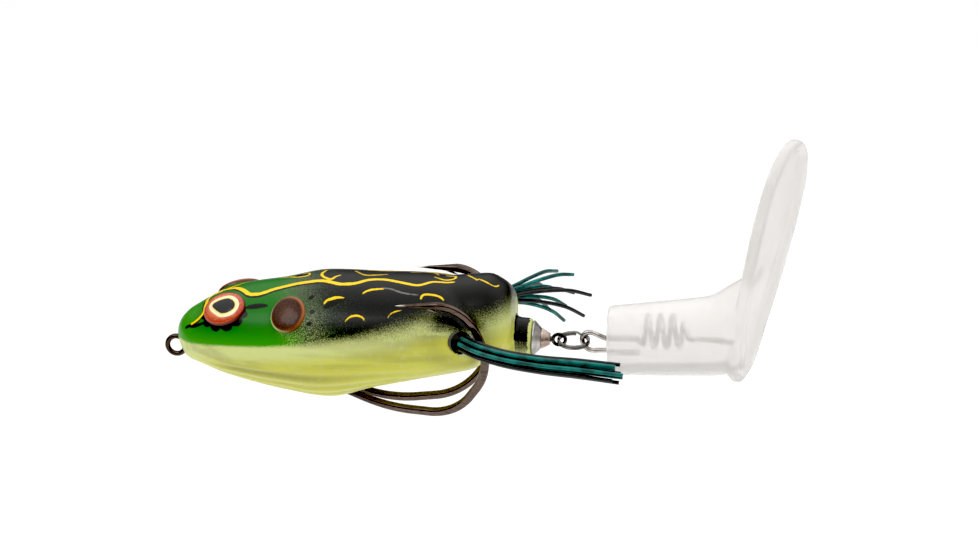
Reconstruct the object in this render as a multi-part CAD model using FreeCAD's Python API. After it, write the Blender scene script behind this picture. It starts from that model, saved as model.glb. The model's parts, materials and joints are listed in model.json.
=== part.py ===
import FreeCAD, Part
import math
import os

from FreeCAD import Matrix, Placement, Rotation, Vector

# Hollow-bodied frog topwater lure with a spinning paddle tail. Millimetres.
# Origin: centre of the line-tie eye's hole. +X runs from nose to tail, +Z is the
# frog's back, and the frog's left side is -Y.

# ---------------------------------------------------------------- driving sizes
# Body
body_length = 62.2          # nose to the rear face of the trunk
body_width = 25.8           # across the widest part of the belly
body_height = 23.0          # lowest point of the belly to the top of the back
nose_x = 0.75               # from the line-tie centre back to the tip of the nose
belly_drop = 9.0            # lowest point of the belly below the line-tie centre
shell_wall = 1.3            # soft body's wall

# Double hook
hook_wire = 1.5             # diameter of the hook wire
eye_wire = 0.95             # diameter of the wire in the line-tie eye
eye_hole = 2.5              # round bore of the line-tie eye
eye_ease = 0.05             # how far the bore is cut into the wire's inner curve
hook_bend_radius = 10.25    # to the inside of the wire
hook_point_length = 7.5     # tapered length of each point
hook_clearance = 0.06       # between the wires and the body's slot
hook_bend_height = -0.5     # centre of each bend from the line tie
hook_pair_gap = 0.06        # free gap between the two shanks
barb_length = 2.1
barb_root_radius = 0.42
tip_radius = 0.09

# Weights
keel_radius = 1.9
keel_length = 12.0
keel_round = 0.8
keel_lift = 0.9             # weight's axis above the middle of the two shanks

# Eyes and ear discs
eye_length = 8.6
eye_height = 7.0
eye_dome = 1.3
eye_slant = -0.4            # fall of the eye's long axis towards the tail
ear_length = 6.5
ear_height = 7.0
ear_dome = 0.8
seat_depth = 0.7            # how deep an eye or ear disc is let into its boss
seat_clearance = 0.05
eye_sink = 0.1              # eye's rim below the cheek
boss_margin = 1.3           # boss beyond the rim of an eye or ear disc
boss_depth = 3.6            # half axis of the boss's ball
boss_sink = 2.2             # boss's centre below the cheek

# Legs
leg_station = 0.872         # leg holes' place along the body
hook_to_leg = 9.444         # rear side of a leg hole behind the middle of the hooks' bends
strand_diameter = 0.76
sleeve_wall = 0.25
leg_hole_radius = 2.25 * strand_diameter + sleeve_wall + 0.02   # outside of the sleeve
sleeve_length = 5.2
sleeve_proud = 0.9
scoop_radius = 3.3          # recess around the leg hole
strand_root = 0.6           # length of each strand inside the sleeve's mouth
strand_gap = 0.03           # between neighbouring strands in the sleeve
leg_boss_wall = 1.3         # soft wall around each leg hole

# Tail tube, weight and swivel
tube_radius = 3.65
tube_length = 6.5
tube_overhang = 2.95        # tube's end behind the trunk's rear face
tube_height = 10.55         # middle of the tube's end above the belly's lowest point
tube_droop = 3.5            # degrees that the tail axis points below level
stem_radius = 2.05
stem_clearance = 0.05
stem_short = 0.4            # weight's stem ends this far before the tube's bottom
weight_root_radius = 3.2
weight_nose_radius = 1.9
weight_cone_length = 1.55
barrel_radius = 1.45
barrel_flange_radius = 2.0
barrel_tip_radius = 1.15
barrel_length = 3.0
barrel_facets = 8
pocket_depth = 1.4          # recess in the weight's nose that holds the barrel
swivel_stem_radius = 0.55
swivel_head_radius = 0.92
swivel_clearance = 0.07
loop_wire = 0.64            # wire of the swivel's loop
loop_inner_height = 1.32
loop_inner_length = 1.6

# Split ring
ring_outer_radius = 2.95
ring_width = 0.5            # radial
ring_thickness = 0.9        # two turns of flattened wire
ring_roll = 11.0            # degrees about the tail axis
ring_groove = 0.06          # line between the two turns
ring_groove_depth = 0.12
link_slack = 0.45           # play at each link of the chain

# Keeper wire moulded into the paddle
keeper_wire = 0.9
keeper_loop_radius = 1.9
keeper_gap = 2.15           # between its two wires, centre to centre
coil_radius = 2.35
coil_pitch = 2.2
coil_turns = 3.25
pin_length = 7.5

# Paddle tail
paddle_front_radius = 6.2
paddle_rear_radius = 7.0
paddle_stem_length = 16.0
blade_length = 45.3
blade_half_width = 8.5
blade_thickness = 2.3
blade_dish = 1.25           # depth of the hollow in the blade's rear face
blade_rim = 1.5
blade_lean = 13.5           # degrees back from upright
blade_twist = -22.0         # degrees about its own long axis
blade_drop = 7.8            # lower end of the blade below the keeper's axis

# -------------------------------------------------------------- derived places
tail_x = nose_x + body_length
sides = {"left": -1, "right": 1}

os.makedirs("parts", exist_ok=True)


def save(shape, name):
    """Write one sub-part, as a single solid or a group of solids."""
    shape.exportStep("parts/%s.step" % name)
    print("%-18s solids %d  volume %.1f" % (name, len(shape.Solids), shape.Volume))


def body_point(length, side, up):
    """A place on the body from its length share, width share and height share."""
    return Vector(nose_x + length * body_length, side * body_width / 2,
                  up * body_height - belly_drop)


# ------------------------------------------------------------------ soft body
# Each row: share of the length, half width, top, bottom and the height of the
# widest line, as shares of the body's half width and height.
head_and_belly = [
    (0.006, 0.19, 0.600, 0.430, 0.500),
    (0.030, 0.38, 0.678, 0.304, 0.487),
    (0.076, 0.56, 0.754, 0.261, 0.487),
    (0.140, 0.71, 0.843, 0.191, 0.491),
    (0.221, 0.82, 0.902, 0.126, 0.496),
    (0.317, 0.915, 0.935, 0.061, 0.500),
    (0.453, 0.99, 0.998, 0.000, 0.504),
    (0.598, 1.00, 0.983, 0.091, 0.513),
    (0.743, 0.977, 0.970, 0.170, 0.517),
    (0.839, 0.938, 0.926, 0.222, 0.509),
    (0.887, 0.853, 0.804, 0.252, 0.500),
    (0.910, 0.730, 0.678, 0.304, 0.491),
    (0.917, 0.540, 0.587, 0.370, 0.480),
]
trunk = [
    (0.727, 0.690, 0.939, 0.304, 0.609),
    (0.839, 0.674, 0.961, 0.313, 0.609),
    (0.928, 0.659, 0.976, 0.335, 0.609),
    (0.963, 0.628, 0.928, 0.357, 0.609),
    (0.984, 0.566, 0.883, 0.417, 0.609),
    (0.998, 0.457, 0.817, 0.504, 0.620),
]


def oval(row, inset=0.0):
    """Closed section of four quarter ellipses, pulled in by the inset."""
    length, side, top, bottom, middle = row
    x = nose_x + length * body_length
    half = side * body_width / 2 - inset
    centre = Vector(x, 0, middle * body_height - belly_drop)
    rise = (top - middle) * body_height - inset
    fall = (middle - bottom) * body_height - inset
    edges = []
    for start, upward in ((0, True), (90, True), (180, False), (270, False)):
        high = rise if upward else fall
        points = []
        for step in range(7):
            angle = math.radians(start + 15 * step)
            points.append(centre + Vector(0, half * math.cos(angle), high * math.sin(angle)))
        turn_in = Vector(0, -math.sin(math.radians(start)), math.cos(math.radians(start)))
        turn_out = Vector(0, -math.cos(math.radians(start)), -math.sin(math.radians(start)))
        curve = Part.BSplineCurve()
        curve.interpolate(points, InitialTangent=turn_in, FinalTangent=turn_out)
        edges.append(curve.toShape())
    return Part.Wire(edges)


def loft(rows, inset=0.0, straight=False):
    """Solid through the rows' sections, smooth or with straight sides."""
    return Part.makeLoft([oval(row, inset) for row in rows], True, straight)


hull = loft(head_and_belly[:10]).fuse(loft(head_and_belly[9:], straight=True)).fuse(loft(trunk))
cavity = loft(head_and_belly[2:10], shell_wall).fuse(loft(head_and_belly[9:12], shell_wall, True))
cavity = cavity.fuse(loft(trunk[:5], shell_wall))


def surface_frame(start, outward):
    """Point where a line leaves the hull, with the outward normal there."""
    reach = outward * (body_width + body_height)
    inside = hull.common(Part.makeLine(start, start + reach))
    point = max((v.Point for v in inside.Vertexes), key=lambda p: (p - start).Length)
    face = min(hull.Faces, key=lambda f: f.distToShape(Part.Vertex(point))[0])
    u, v = face.Surface.parameter(point)
    return point, face.normalAt(u, v)


def mirror_y(shape):
    """The same shape on the other side of the lure."""
    return shape.mirror(Vector(0, 0, 0), Vector(0, 1, 0))


def framed(point, normal, along):
    """Placement with local +Z on the normal and local +X nearest to the given direction."""
    return Placement(point, Rotation(along, Vector(0, 0, 0), normal, "ZXY"))


def oval_ball(length, height, depth):
    """Ball stretched to three half axes."""
    stretch = Matrix()
    stretch.scale(length, height, depth)
    return Part.makeSphere(1.0).transformGeometry(stretch)


def seated_disc(point, normal, along, half_length, half_height, dome):
    """Domed disc let into its seat, with the cut and the boss that hold it."""
    place = framed(point, normal, along)
    root = oval_prism(half_length, half_height, seat_depth)
    root.translate(Vector(0, 0, -seat_depth))
    cap = oval_ball(half_length, half_height, dome)
    cap = cap.common(Part.makeBox(40, 40, 20, Vector(-20, -20, -0.01)))
    disc = root.fuse(cap).removeSplitter()
    seat = oval_prism(half_length + seat_clearance, half_height + seat_clearance, 8)
    seat.translate(Vector(0, 0, -seat_depth - seat_clearance))
    boss = oval_ball(half_length + boss_margin, half_height + boss_margin, boss_depth)
    boss.translate(Vector(0, 0, -boss_sink))
    for shape in (disc, seat, boss):
        shape.Placement = place.multiply(shape.Placement)
    return disc, seat, boss


def oval_prism(half_length, half_height, depth):
    """Upright prism of oval section on the local XY plane."""
    disc = Part.Face(Part.Wire(Part.makeCircle(1.0)))
    stretch = Matrix()
    stretch.scale(half_length, half_height, 1.0)
    return disc.transformGeometry(stretch).extrude(Vector(0, 0, depth))


# Eyes on the upper cheeks, ear discs behind them
eye_start = body_point(0.1795, 0, 0.498)
eye_out = Vector(-0.08, -math.cos(math.radians(45)), math.sin(math.radians(45)))
eye_point, eye_normal = surface_frame(eye_start, eye_out)
eye, eye_seat, eye_boss = seated_disc(eye_point - eye_normal * eye_sink, eye_normal, Vector(1, 0, eye_slant),
                                      eye_length / 2, eye_height / 2, eye_dome)
ear_start = body_point(0.367, 0, 0.500)
ear_out = Vector(0, -math.cos(math.radians(33)), math.sin(math.radians(33)))
ear_point, ear_normal = surface_frame(ear_start, ear_out)
ear, ear_seat, ear_boss = seated_disc(ear_point, ear_normal, Vector(1, 0, 0),
                                      ear_length / 2, ear_height / 2, ear_dome)

# ---------------------------------------------------------------------- hook


def bent_path(points, limits):
    """Straight runs joined by tangent arcs, each no larger than its limit."""
    edges = []
    last = points[0]
    corners = list(zip(points, points[1:], points[2:]))
    for place, (before, here, after) in enumerate(corners):
        toward = (before - here).normalize()
        away = (after - here).normalize()
        turn = math.pi - toward.getAngle(away)
        room_before = (0.95 if place == 0 else 0.49) * (before - here).Length
        room_after = (0.95 if place == len(corners) - 1 else 0.49) * (after - here).Length
        limit = limits[place] if isinstance(limits, list) else limits
        reach = min(room_before, room_after, limit * math.tan(turn / 2))
        start = here + toward * reach
        end = here + away * reach
        radius = reach / math.tan(turn / 2)
        bisector = (toward + away).normalize()
        middle = here + bisector * (radius / math.cos(turn / 2) - radius)
        if (start - last).Length > 1e-6:
            edges.append(Part.LineSegment(last, start).toShape())
        edges.append(Part.Arc(start, middle, end).toShape())
        last = end
    edges.append(Part.LineSegment(last, points[-1]).toShape())
    return Part.Wire(edges)


def tube(path, radius):
    """Round wire along a path."""
    start = path.Edges[0]
    point = start.valueAt(start.FirstParameter)
    direction = start.tangentAt(start.FirstParameter)
    circle = Part.Wire(Part.makeCircle(radius, point, direction))
    return path.makePipeShell([circle], True, False)


half_wire = hook_wire / 2
eye_ring_radius = (eye_hole + eye_wire) / 2 - eye_ease
bend = hook_bend_radius + hook_wire / 2
pair_gap = (hook_wire + hook_pair_gap) / 2
belly_turn = body_point(0.415, 0, 0.135)
bend_x = body_point(leg_station, 0, 0).x + leg_hole_radius - hook_to_leg
bend_z = hook_bend_height
side_clear = body_width / 2
corner = bend * math.tan(math.radians(30))


def hook_points():
    """Corner points of one hook's wire on the left side, from eye to point."""
    return [
        Vector(eye_ring_radius + 0.25, -pair_gap, 0),
        Vector(nose_x + 6.5, -pair_gap, -0.5),
        Vector(belly_turn.x, -pair_gap - 0.2, belly_turn.z),
        Vector(bend_x - 8.5, -side_clear * 0.18, bend_z - bend + 0.6),
        Vector(bend_x + corner - 1.7, -side_clear * 0.46, bend_z - bend + 0.5),
        Vector(bend_x + 2 * corner - 0.2, -side_clear * 0.80, bend_z),
        Vector(bend_x + 0.70 * bend, -side_clear * 0.93, bend_z + bend + 0.6),
        Vector(bend_x - 0.38 * bend, -side_clear * 0.96, bend_z + bend + 0.8),
    ]


left_points = hook_points()
tip = left_points[-1]
tip_run = (tip - left_points[-2]).normalize()
shaft_end = tip - tip_run * hook_point_length
bend_limits = [20.0, 40.0, 24.0, bend, bend, 0.7 * bend]
hook_path = bent_path(left_points[:-1] + [shaft_end], bend_limits)
left_wire = tube(hook_path, half_wire)
left_tip = Part.makeCone(half_wire, tip_radius, hook_point_length, shaft_end, tip_run)
barb_foot = shaft_end + tip_run * (0.33 * hook_point_length)
barb_run = Vector(0, 0, -0.62) - tip_run
barb = Part.makeCone(barb_root_radius, 0.06, barb_length, barb_foot, barb_run)
left_hook = left_wire.fuse(left_tip).fuse(barb)
eye_ring = Part.makeTorus(eye_ring_radius, eye_wire / 2, Vector(0, 0, 0), Vector(0, 1, 0))
eye_bore = Part.makeCylinder(eye_hole / 2, 2 * eye_wire, Vector(0, -eye_wire, 0), Vector(0, 1, 0))
eye_ring = eye_ring.cut(eye_bore)
neck = Part.makeCylinder(eye_wire / 2, 2 * (pair_gap + 0.1),
                         Vector(eye_ring_radius + 0.3, -pair_gap - 0.1, 0), Vector(0, 1, 0))
hook = left_hook.fuse(mirror_y(left_hook)).fuse(eye_ring).fuse(neck)

# Room for the two wires through the nose and the belly
shank_room = tube(hook_path, half_wire + hook_clearance)
shank_room = shank_room.fuse(mirror_y(shank_room))
web = Part.makeBox(8.0, 2 * pair_gap, hook_wire * 0.5,
                   Vector(eye_ring_radius - 1.0, -pair_gap, -hook_wire * 0.25 - 0.1))
shank_room = shank_room.fuse(web)
eye_room = Part.makeCylinder(eye_ring_radius + eye_wire / 2 + 0.35, 2 * pair_gap + 0.3,
                             Vector(0, -pair_gap - 0.15, 0), Vector(0, 1, 0))

# Cast keel weight around the two shanks
keel_run = (left_points[2] - left_points[1]).normalize()
keel_run = Vector(keel_run.x, 0, keel_run.z).normalize()
keel_mid = (left_points[1] + left_points[2]) * 0.5
keel_mid = Vector(keel_mid.x, 0, keel_mid.z + keel_lift) - keel_run * 0.5
keel_start = keel_mid - keel_run * (keel_length / 2)
keel = Part.makeCylinder(keel_radius, keel_length, keel_start, keel_run)
keel = keel.makeFillet(keel_round, [e for e in keel.Edges if isinstance(e.Curve, Part.Circle)])
keel_bores = tube(hook_path, half_wire + 0.02)
keel = keel.cut(keel_bores.fuse(mirror_y(keel_bores)))

# ------------------------------------------------------------------ leg holes
leg_point = body_point(leg_station, -0.90, 0.572)
leg_axis = Vector(0.73, -0.68, -0.03).normalize()
leg_mouth = leg_point + leg_axis * sleeve_proud
leg_boss = Part.makeCylinder(leg_hole_radius + leg_boss_wall, sleeve_length,
                             leg_point - leg_axis * sleeve_length, leg_axis)
leg_scoop = Part.makeCylinder(scoop_radius, 6.0, leg_point, leg_axis)
leg_hole = Part.makeCylinder(leg_hole_radius + seat_clearance, sleeve_length + 8,
                             leg_point - leg_axis * (sleeve_length + 2), leg_axis)
sleeve = Part.makeCylinder(leg_hole_radius, sleeve_length,
                           leg_mouth - leg_axis * sleeve_length, leg_axis)
sleeve = sleeve.cut(Part.makeCylinder(leg_hole_radius - sleeve_wall, sleeve_length + 1,
                                      leg_mouth - leg_axis * (sleeve_length - 0.8), leg_axis))

# ------------------------------------------------------------------ tail axis
tube_end = Vector(tail_x + tube_overhang, 0, tube_height - belly_drop)
droop = math.radians(tube_droop)
tail_dir = Vector(math.cos(droop), 0, -math.sin(droop))
tail_up = Vector(math.sin(droop), 0, math.cos(droop))


def on_tail(distance):
    """Point on the drooping tail axis, measured from the end of the body's tube."""
    return tube_end + tail_dir * distance


def tail_cylinder(radius, start, end):
    """Cylinder on the tail axis between two distances."""
    return Part.makeCylinder(radius, end - start, on_tail(start), tail_dir)


def tail_cone(first, second, start, end):
    """Cone on the tail axis between two distances."""
    return Part.makeCone(first, second, end - start, on_tail(start), tail_dir)


# -------------------------------------------------------------- body shell
bosses = eye_boss.fuse(ear_boss)
bosses = bosses.fuse(mirror_y(bosses))
leg_bosses = leg_boss.fuse(mirror_y(leg_boss)).common(hull)
shell = hull.fuse(bosses).cut(cavity)
inner_bosses = bosses.common(hull)
shell = shell.fuse(inner_bosses).fuse(leg_bosses)
shell = shell.fuse(tail_cylinder(tube_radius, -tube_length, 0))
cuts = [leg_scoop, leg_hole, eye_seat, ear_seat]
for cut in cuts:
    shell = shell.cut(cut).cut(mirror_y(cut))
shell = shell.cut(tail_cylinder(stem_radius + stem_clearance, -tube_length - 1, 1))
shell = shell.cut(shank_room).cut(eye_room)
shell = max(shell.Solids, key=lambda s: s.Volume)

# ------------------------------------------------- tail weight and its swivel
weight = tail_cylinder(stem_radius, -tube_length + stem_short, 0.02)
weight = weight.fuse(tail_cone(weight_root_radius, weight_nose_radius, 0.02, weight_cone_length))
pocket = tail_cylinder(barrel_radius + 0.02, weight_cone_length - pocket_depth, weight_cone_length + 1)
weight = weight.cut(pocket)
barrel_back = weight_cone_length - pocket_depth + 0.02
flange_start = weight_cone_length + 0.02
barrel_end = barrel_back + barrel_length
barrel = tail_cylinder(barrel_radius, barrel_back, flange_start + 0.1)
flange_rings = []
for distance, radius in ((flange_start, barrel_flange_radius), (barrel_end, barrel_tip_radius)):
    ring = []
    for step in range(barrel_facets + 1):
        angle = 2 * math.pi * step / barrel_facets
        spoke = tail_up * math.cos(angle) + Vector(0, math.sin(angle), 0)
        ring.append(on_tail(distance) + spoke * radius)
    flange_rings.append(Part.makePolygon(ring))
barrel = barrel.fuse(Part.makeLoft(flange_rings, True, True))
chamber_start = barrel_back + 0.35
chamber_end = barrel_end - 0.75
barrel = barrel.cut(tail_cylinder(swivel_head_radius + swivel_clearance, chamber_start, chamber_end))
barrel = barrel.cut(tail_cylinder(swivel_stem_radius + swivel_clearance, chamber_end - 0.1, barrel_end + 1))


def slot_ring(start, inner_length, inner_height, wire):
    """Round wire bent to a long loop in the tail's upright plane."""
    radius = (inner_height + wire) / 2
    straight = inner_length - inner_height
    up = tail_up
    first = on_tail(start + radius)
    second = on_tail(start + radius + straight)
    edges = [
        Part.Arc(first + up * radius, first - tail_dir * radius, first - up * radius).toShape(),
        Part.LineSegment(first - up * radius, second - up * radius).toShape(),
        Part.Arc(second - up * radius, second + tail_dir * radius, second + up * radius).toShape(),
        Part.LineSegment(second + up * radius, first + up * radius).toShape(),
    ]
    path = Part.Wire(edges)
    circle = Part.Wire(Part.makeCircle(wire / 2, first + up * radius, -tail_dir))
    return path.makePipeShell([circle], True, False)


loop_start = barrel_end + 0.15 + loop_wire / 2
swivel = tail_cylinder(swivel_head_radius, chamber_start + 0.12, chamber_end - 0.12)
swivel = swivel.fuse(tail_cylinder(swivel_stem_radius, chamber_end - 0.3, loop_start + 0.2))
swivel = swivel.fuse(slot_ring(loop_start, loop_inner_length, loop_inner_height, loop_wire))

# ------------------------------------------------------------------ split ring
ring_hold = loop_start + loop_wire / 2 + link_slack    # front of the ring, inside the loop
ring_centre = ring_hold + ring_outer_radius
ring_middle_radius = ring_outer_radius - ring_width / 2
roll = Rotation(tail_dir, ring_roll)
ring_up = roll.multVec(tail_up)
ring_base = on_tail(ring_centre) - ring_up * (ring_thickness / 2)
ring = Part.makeCylinder(ring_outer_radius, ring_thickness, ring_base, ring_up)
ring = ring.cut(Part.makeCylinder(ring_outer_radius - ring_width, ring_thickness, ring_base, ring_up))
groove_base = on_tail(ring_centre) - ring_up * (ring_groove / 2)
groove = Part.makeCylinder(ring_outer_radius + 1, ring_groove, groove_base, ring_up)
groove = groove.cut(Part.makeCylinder(ring_outer_radius - ring_groove_depth, ring_groove,
                                      groove_base, ring_up))
ring = ring.cut(groove)

# ----------------------------------------------------------------- keeper wire
ring_rear = on_tail(ring_centre + ring_middle_radius)
keeper_z = ring_rear.z + 0.35
loop_front = ring_rear.x - ring_width / 2 - link_slack - keeper_wire / 2
loop_centre = loop_front + keeper_loop_radius
stem_front = loop_centre + 2.85
upper_z = keeper_z + 0.2
lower_z = upper_z - keeper_gap
coil_start = stem_front + 6.2
coil_axis_z = upper_z + 1.2


def keeper_shape():
    """Loop, two wires into the paddle, a coil that grips it and a straight pin."""
    spread = keeper_loop_radius + 0.2
    points = [
        Vector(stem_front + 5.7, 0, lower_z),
        Vector(loop_centre + 2.4, 0, lower_z),
        Vector(loop_front, 0, keeper_z - spread),
        Vector(loop_front, 0, keeper_z + spread),
        Vector(loop_centre + 2.4, 0, upper_z),
        Vector(coil_start - 1.6, 0, upper_z),
    ]
    corners = 8
    corner_radius = coil_radius / math.cos(math.pi / corners)
    for step in range(int(coil_turns * corners) + 1):
        angle = 1.5 * math.pi + 2 * math.pi * step / corners
        points.append(Vector(coil_start + coil_pitch * step / corners, corner_radius * math.cos(angle),
                             coil_axis_z + corner_radius * math.sin(angle)))
    coil_end = points[-1].x + 1.2
    points.append(Vector(coil_end, 0, upper_z))
    points.append(Vector(coil_end + pin_length, 0, upper_z))
    return tube(bent_path(points, coil_radius), keeper_wire / 2)


keeper = keeper_shape()

# ----------------------------------------------------------------- paddle tail
lean = math.radians(blade_lean)
blade_up = Vector(math.sin(lean), 0, math.cos(lean))
blade_back = Rotation(blade_up, blade_twist).multVec(Vector(math.cos(lean), 0, -math.sin(lean)))
blade_side = blade_up.cross(blade_back)
stem_rear = stem_front + paddle_stem_length
blade_foot = Vector(stem_rear + 6.6, 0, keeper_z - blade_drop)
blade_middle = blade_foot + blade_up * (blade_length / 2)


def on_blade(up, side, back=0.0):
    return blade_middle + blade_up * up + blade_side * side + blade_back * back


def blade_outline(back, shrink=0.0):
    """Egg-shaped outline of the blade, narrower at its foot."""
    end = blade_length / 2 - shrink
    wide = blade_half_width - shrink
    right = [(-end, 0.0), (-0.91 * end, 0.42 * wide), (-0.52 * end, 0.72 * wide), (0.0, 0.95 * wide),
             (0.43 * end, wide), (0.74 * end, 0.86 * wide), (0.93 * end, 0.50 * wide), (end, 0.0)]
    left = [(up, -side) for up, side in reversed(right[1:-1])]
    curve = Part.BSplineCurve()
    curve.interpolate([on_blade(up, side, back) for up, side in right + left], PeriodicFlag=True)
    return Part.Wire(curve.toShape())


def ring_section(centre, side, up, half_side, half_up):
    """Closed oval section in the plane of its side and up directions."""
    points = []
    for step in range(16):
        angle = math.pi * step / 8
        points.append(centre + side * (half_side * math.cos(angle)) + up * (half_up * math.sin(angle)))
    curve = Part.BSplineCurve()
    curve.interpolate(points, PeriodicFlag=True)
    return Part.Wire(curve.toShape())


def paddle_shape():
    """Tapered round stem that flares into a dished blade."""
    grow = (paddle_rear_radius - paddle_front_radius) / paddle_stem_length
    floor = keeper_z - paddle_front_radius - 0.19
    across = Vector(0, -1, 0)
    sections = []
    for share in (0.0, 0.5, 0.9):
        radius = paddle_front_radius + grow * paddle_stem_length * share
        centre = Vector(stem_front + paddle_stem_length * share, 0, floor + radius)
        sections.append(ring_section(centre, across, Vector(0, 0, 1), radius, radius))
    for back, half_side, half_up, lean_share in ((2.0, 0.99, 1.03, 0.15), (4.3, 0.96, 1.16, 0.5)):
        tilt = math.radians(blade_lean * lean_share)
        high = paddle_rear_radius * half_up
        sections.append(ring_section(Vector(stem_rear + back, 0, floor + high), across,
                                     Vector(math.sin(tilt), 0, math.cos(tilt)),
                                     paddle_rear_radius * half_side, high))
    side = blade_side * (1 if blade_side.y < 0 else -1)
    patch = on_blade(-blade_length / 2 + 11.9, 0, 0)
    sections.append(ring_section(patch, side, blade_up, blade_half_width * 0.74, 10.4))
    stem = Part.makeLoft([sections[0], sections[2]], True, True)
    stem = stem.fuse(Part.makeLoft(sections[2:], True, False))
    blade = Part.Face(blade_outline(-blade_thickness / 2)).extrude(blade_back * blade_thickness)
    stretch = Matrix()
    stretch.scale(blade_half_width - blade_rim, blade_dish, blade_length / 2 - blade_rim)
    dish = Part.makeSphere(1.0).transformGeometry(stretch)
    turn = Rotation(blade_side, blade_back, blade_up, "ZXY")
    dish.Placement = Placement(on_blade(0.6, 0, blade_thickness / 2), turn)
    return stem.fuse(blade).cut(dish)


paddle = paddle_shape()
paddle = paddle.cut(keeper)
paddle = max(paddle.Solids, key=lambda s: s.Volume)

# ---------------------------------------------------------------- leg strands
# Packed in the sleeve as three inner strands and seven outer ones.
inner_ring = 0.5 * strand_diameter / math.sin(math.radians(60)) + strand_gap
outer_ring = inner_ring + strand_diameter + strand_gap
packing = [(inner_ring, 30 + 120 * i) for i in range(3)]
packing += [(outer_ring, 12 + 360 * i / 7) for i in range(7)]

# Each leg's middle line: distance back, outward and down from the sleeve's mouth,
# and how far the bundle has opened there.
left_leg_line = [(0.0, 0.0, 0.0, 1.0), (2.5, 3.1, -0.1, 1.0), (6.4, 4.9, -0.7, 1.0),
                 (13.2, 5.9, -1.6, 1.05), (20.0, 6.5, -2.1, 1.15), (26.4, 6.8, -2.8, 1.25)]
right_leg_line = [(0.0, 0.0, 0.0, 1.0), (2.3, 3.0, 0.1, 1.0), (5.2, 6.6, 0.0, 1.3),
                  (8.4, 10.2, -0.5, 2.2), (11.2, 13.8, -1.6, 3.2), (13.2, 17.4, -3.6, 4.1)]
left_trim = [0.0, 1.1, 0.4, -0.7, 0.9, 0.2, 1.6, -0.3, 0.7, 1.2]
right_trim = [0.5, -0.8, 0.2, 1.1, -0.4, 0.8, 0.0, 1.4, -0.6, 0.3]


def strand(index, line, trim, side):
    """One soft strand, from inside the sleeve's mouth to its cut end."""
    radius, degrees = packing[index]
    mouth = Vector(leg_mouth.x, side * -leg_mouth.y, leg_mouth.z)
    axis = Vector(leg_axis.x, side * -leg_axis.y, leg_axis.z)
    angle = math.radians(degrees)
    across = Vector(0, 0, 1).cross(axis).normalize()
    points = []
    for place, (back, out, down, spread) in enumerate(line):
        centre = mouth + Vector(back, side * out, down)
        if place == 0:
            centre = mouth - axis * strand_root
        ahead = line[min(place + 1, len(line) - 1)]
        behind = line[max(place - 1, 0)]
        run = Vector(ahead[0] - behind[0], side * (ahead[1] - behind[1]), 0)
        across = Vector(0, 0, 1).cross(run).normalize() if place > 1 else across
        lift = Vector(0, 0, 1)
        spin = angle if side < 0 else math.pi - angle
        offset = across * math.cos(spin) + lift * math.sin(spin)
        offset = offset * (radius * spread)
        points.append(centre + offset)
    end_run = (points[-1] - points[-2]).normalize()
    points[-1] = points[-1] + end_run * trim
    return tube(bent_path(points, 40.0), strand_diameter / 2)


# -------------------------------------------------------------------- write
save(shell, "body_shell")
save(hook, "double_hook")
save(keel, "keel_weight")
for name, side in sides.items():
    def place(shape):
        return shape if side < 0 else mirror_y(shape)
    save(place(eye), name + "_eye")
    save(place(ear), name + "_ear_disc")
    save(place(sleeve), name + "_leg_sleeve")
save(weight, "tail_weight")
save(barrel, "swivel_barrel")
save(swivel, "swivel_eye")
save(ring, "split_ring")
save(keeper, "tail_keeper")
save(paddle, "paddle_tail")
for name, line, trims in (("left", left_leg_line, left_trim), ("right", right_leg_line, right_trim)):
    for index in range(len(packing)):
        save(strand(index, line, trims[index], sides[name]), "%s_leg_strand_%02d" % (name, index + 1))
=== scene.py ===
"""Soft hollow frog lure with a double hook, two strand legs and a paddle tail."""
import json
import logging
import math
from dataclasses import dataclass, field
from enum import Enum
from typing import Optional, Sequence

import bmesh
import bpy
import numpy as np
from mathutils import Matrix, Vector
from mathutils.bvhtree import BVHTree

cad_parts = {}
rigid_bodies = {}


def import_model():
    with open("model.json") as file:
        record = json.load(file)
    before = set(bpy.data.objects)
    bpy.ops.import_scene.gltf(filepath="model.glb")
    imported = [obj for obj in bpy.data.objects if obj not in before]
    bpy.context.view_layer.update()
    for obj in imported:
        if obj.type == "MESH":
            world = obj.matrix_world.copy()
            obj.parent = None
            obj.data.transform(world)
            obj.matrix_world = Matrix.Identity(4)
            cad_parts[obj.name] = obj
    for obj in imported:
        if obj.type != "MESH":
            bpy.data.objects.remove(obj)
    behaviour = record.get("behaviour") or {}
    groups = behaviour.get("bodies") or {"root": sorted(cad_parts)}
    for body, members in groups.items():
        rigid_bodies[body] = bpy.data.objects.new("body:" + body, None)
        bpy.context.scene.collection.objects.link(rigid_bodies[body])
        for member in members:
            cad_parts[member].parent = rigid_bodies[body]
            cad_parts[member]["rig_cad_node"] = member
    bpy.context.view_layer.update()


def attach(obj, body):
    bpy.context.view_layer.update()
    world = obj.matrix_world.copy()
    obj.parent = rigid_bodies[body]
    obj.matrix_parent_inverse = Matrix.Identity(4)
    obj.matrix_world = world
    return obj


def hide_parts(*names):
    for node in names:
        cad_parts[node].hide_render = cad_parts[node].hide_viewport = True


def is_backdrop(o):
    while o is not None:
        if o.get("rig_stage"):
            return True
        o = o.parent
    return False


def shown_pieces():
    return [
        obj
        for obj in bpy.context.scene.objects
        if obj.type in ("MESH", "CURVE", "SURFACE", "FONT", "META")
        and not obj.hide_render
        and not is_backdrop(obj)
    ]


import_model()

log = logging.getLogger("frog_lure")
MM = 0.001                     # the frame is in metres, the sizes below in millimetres
Array = np.ndarray
Socket = bpy.types.NodeSocket


class Side(Enum):
    """Side of the lure, by the sign of its Y."""
    LEFT = -1
    RIGHT = 1

    @property
    def word(self) -> str:
        """The side's word in the node names."""
        return self.name.lower()


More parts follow.
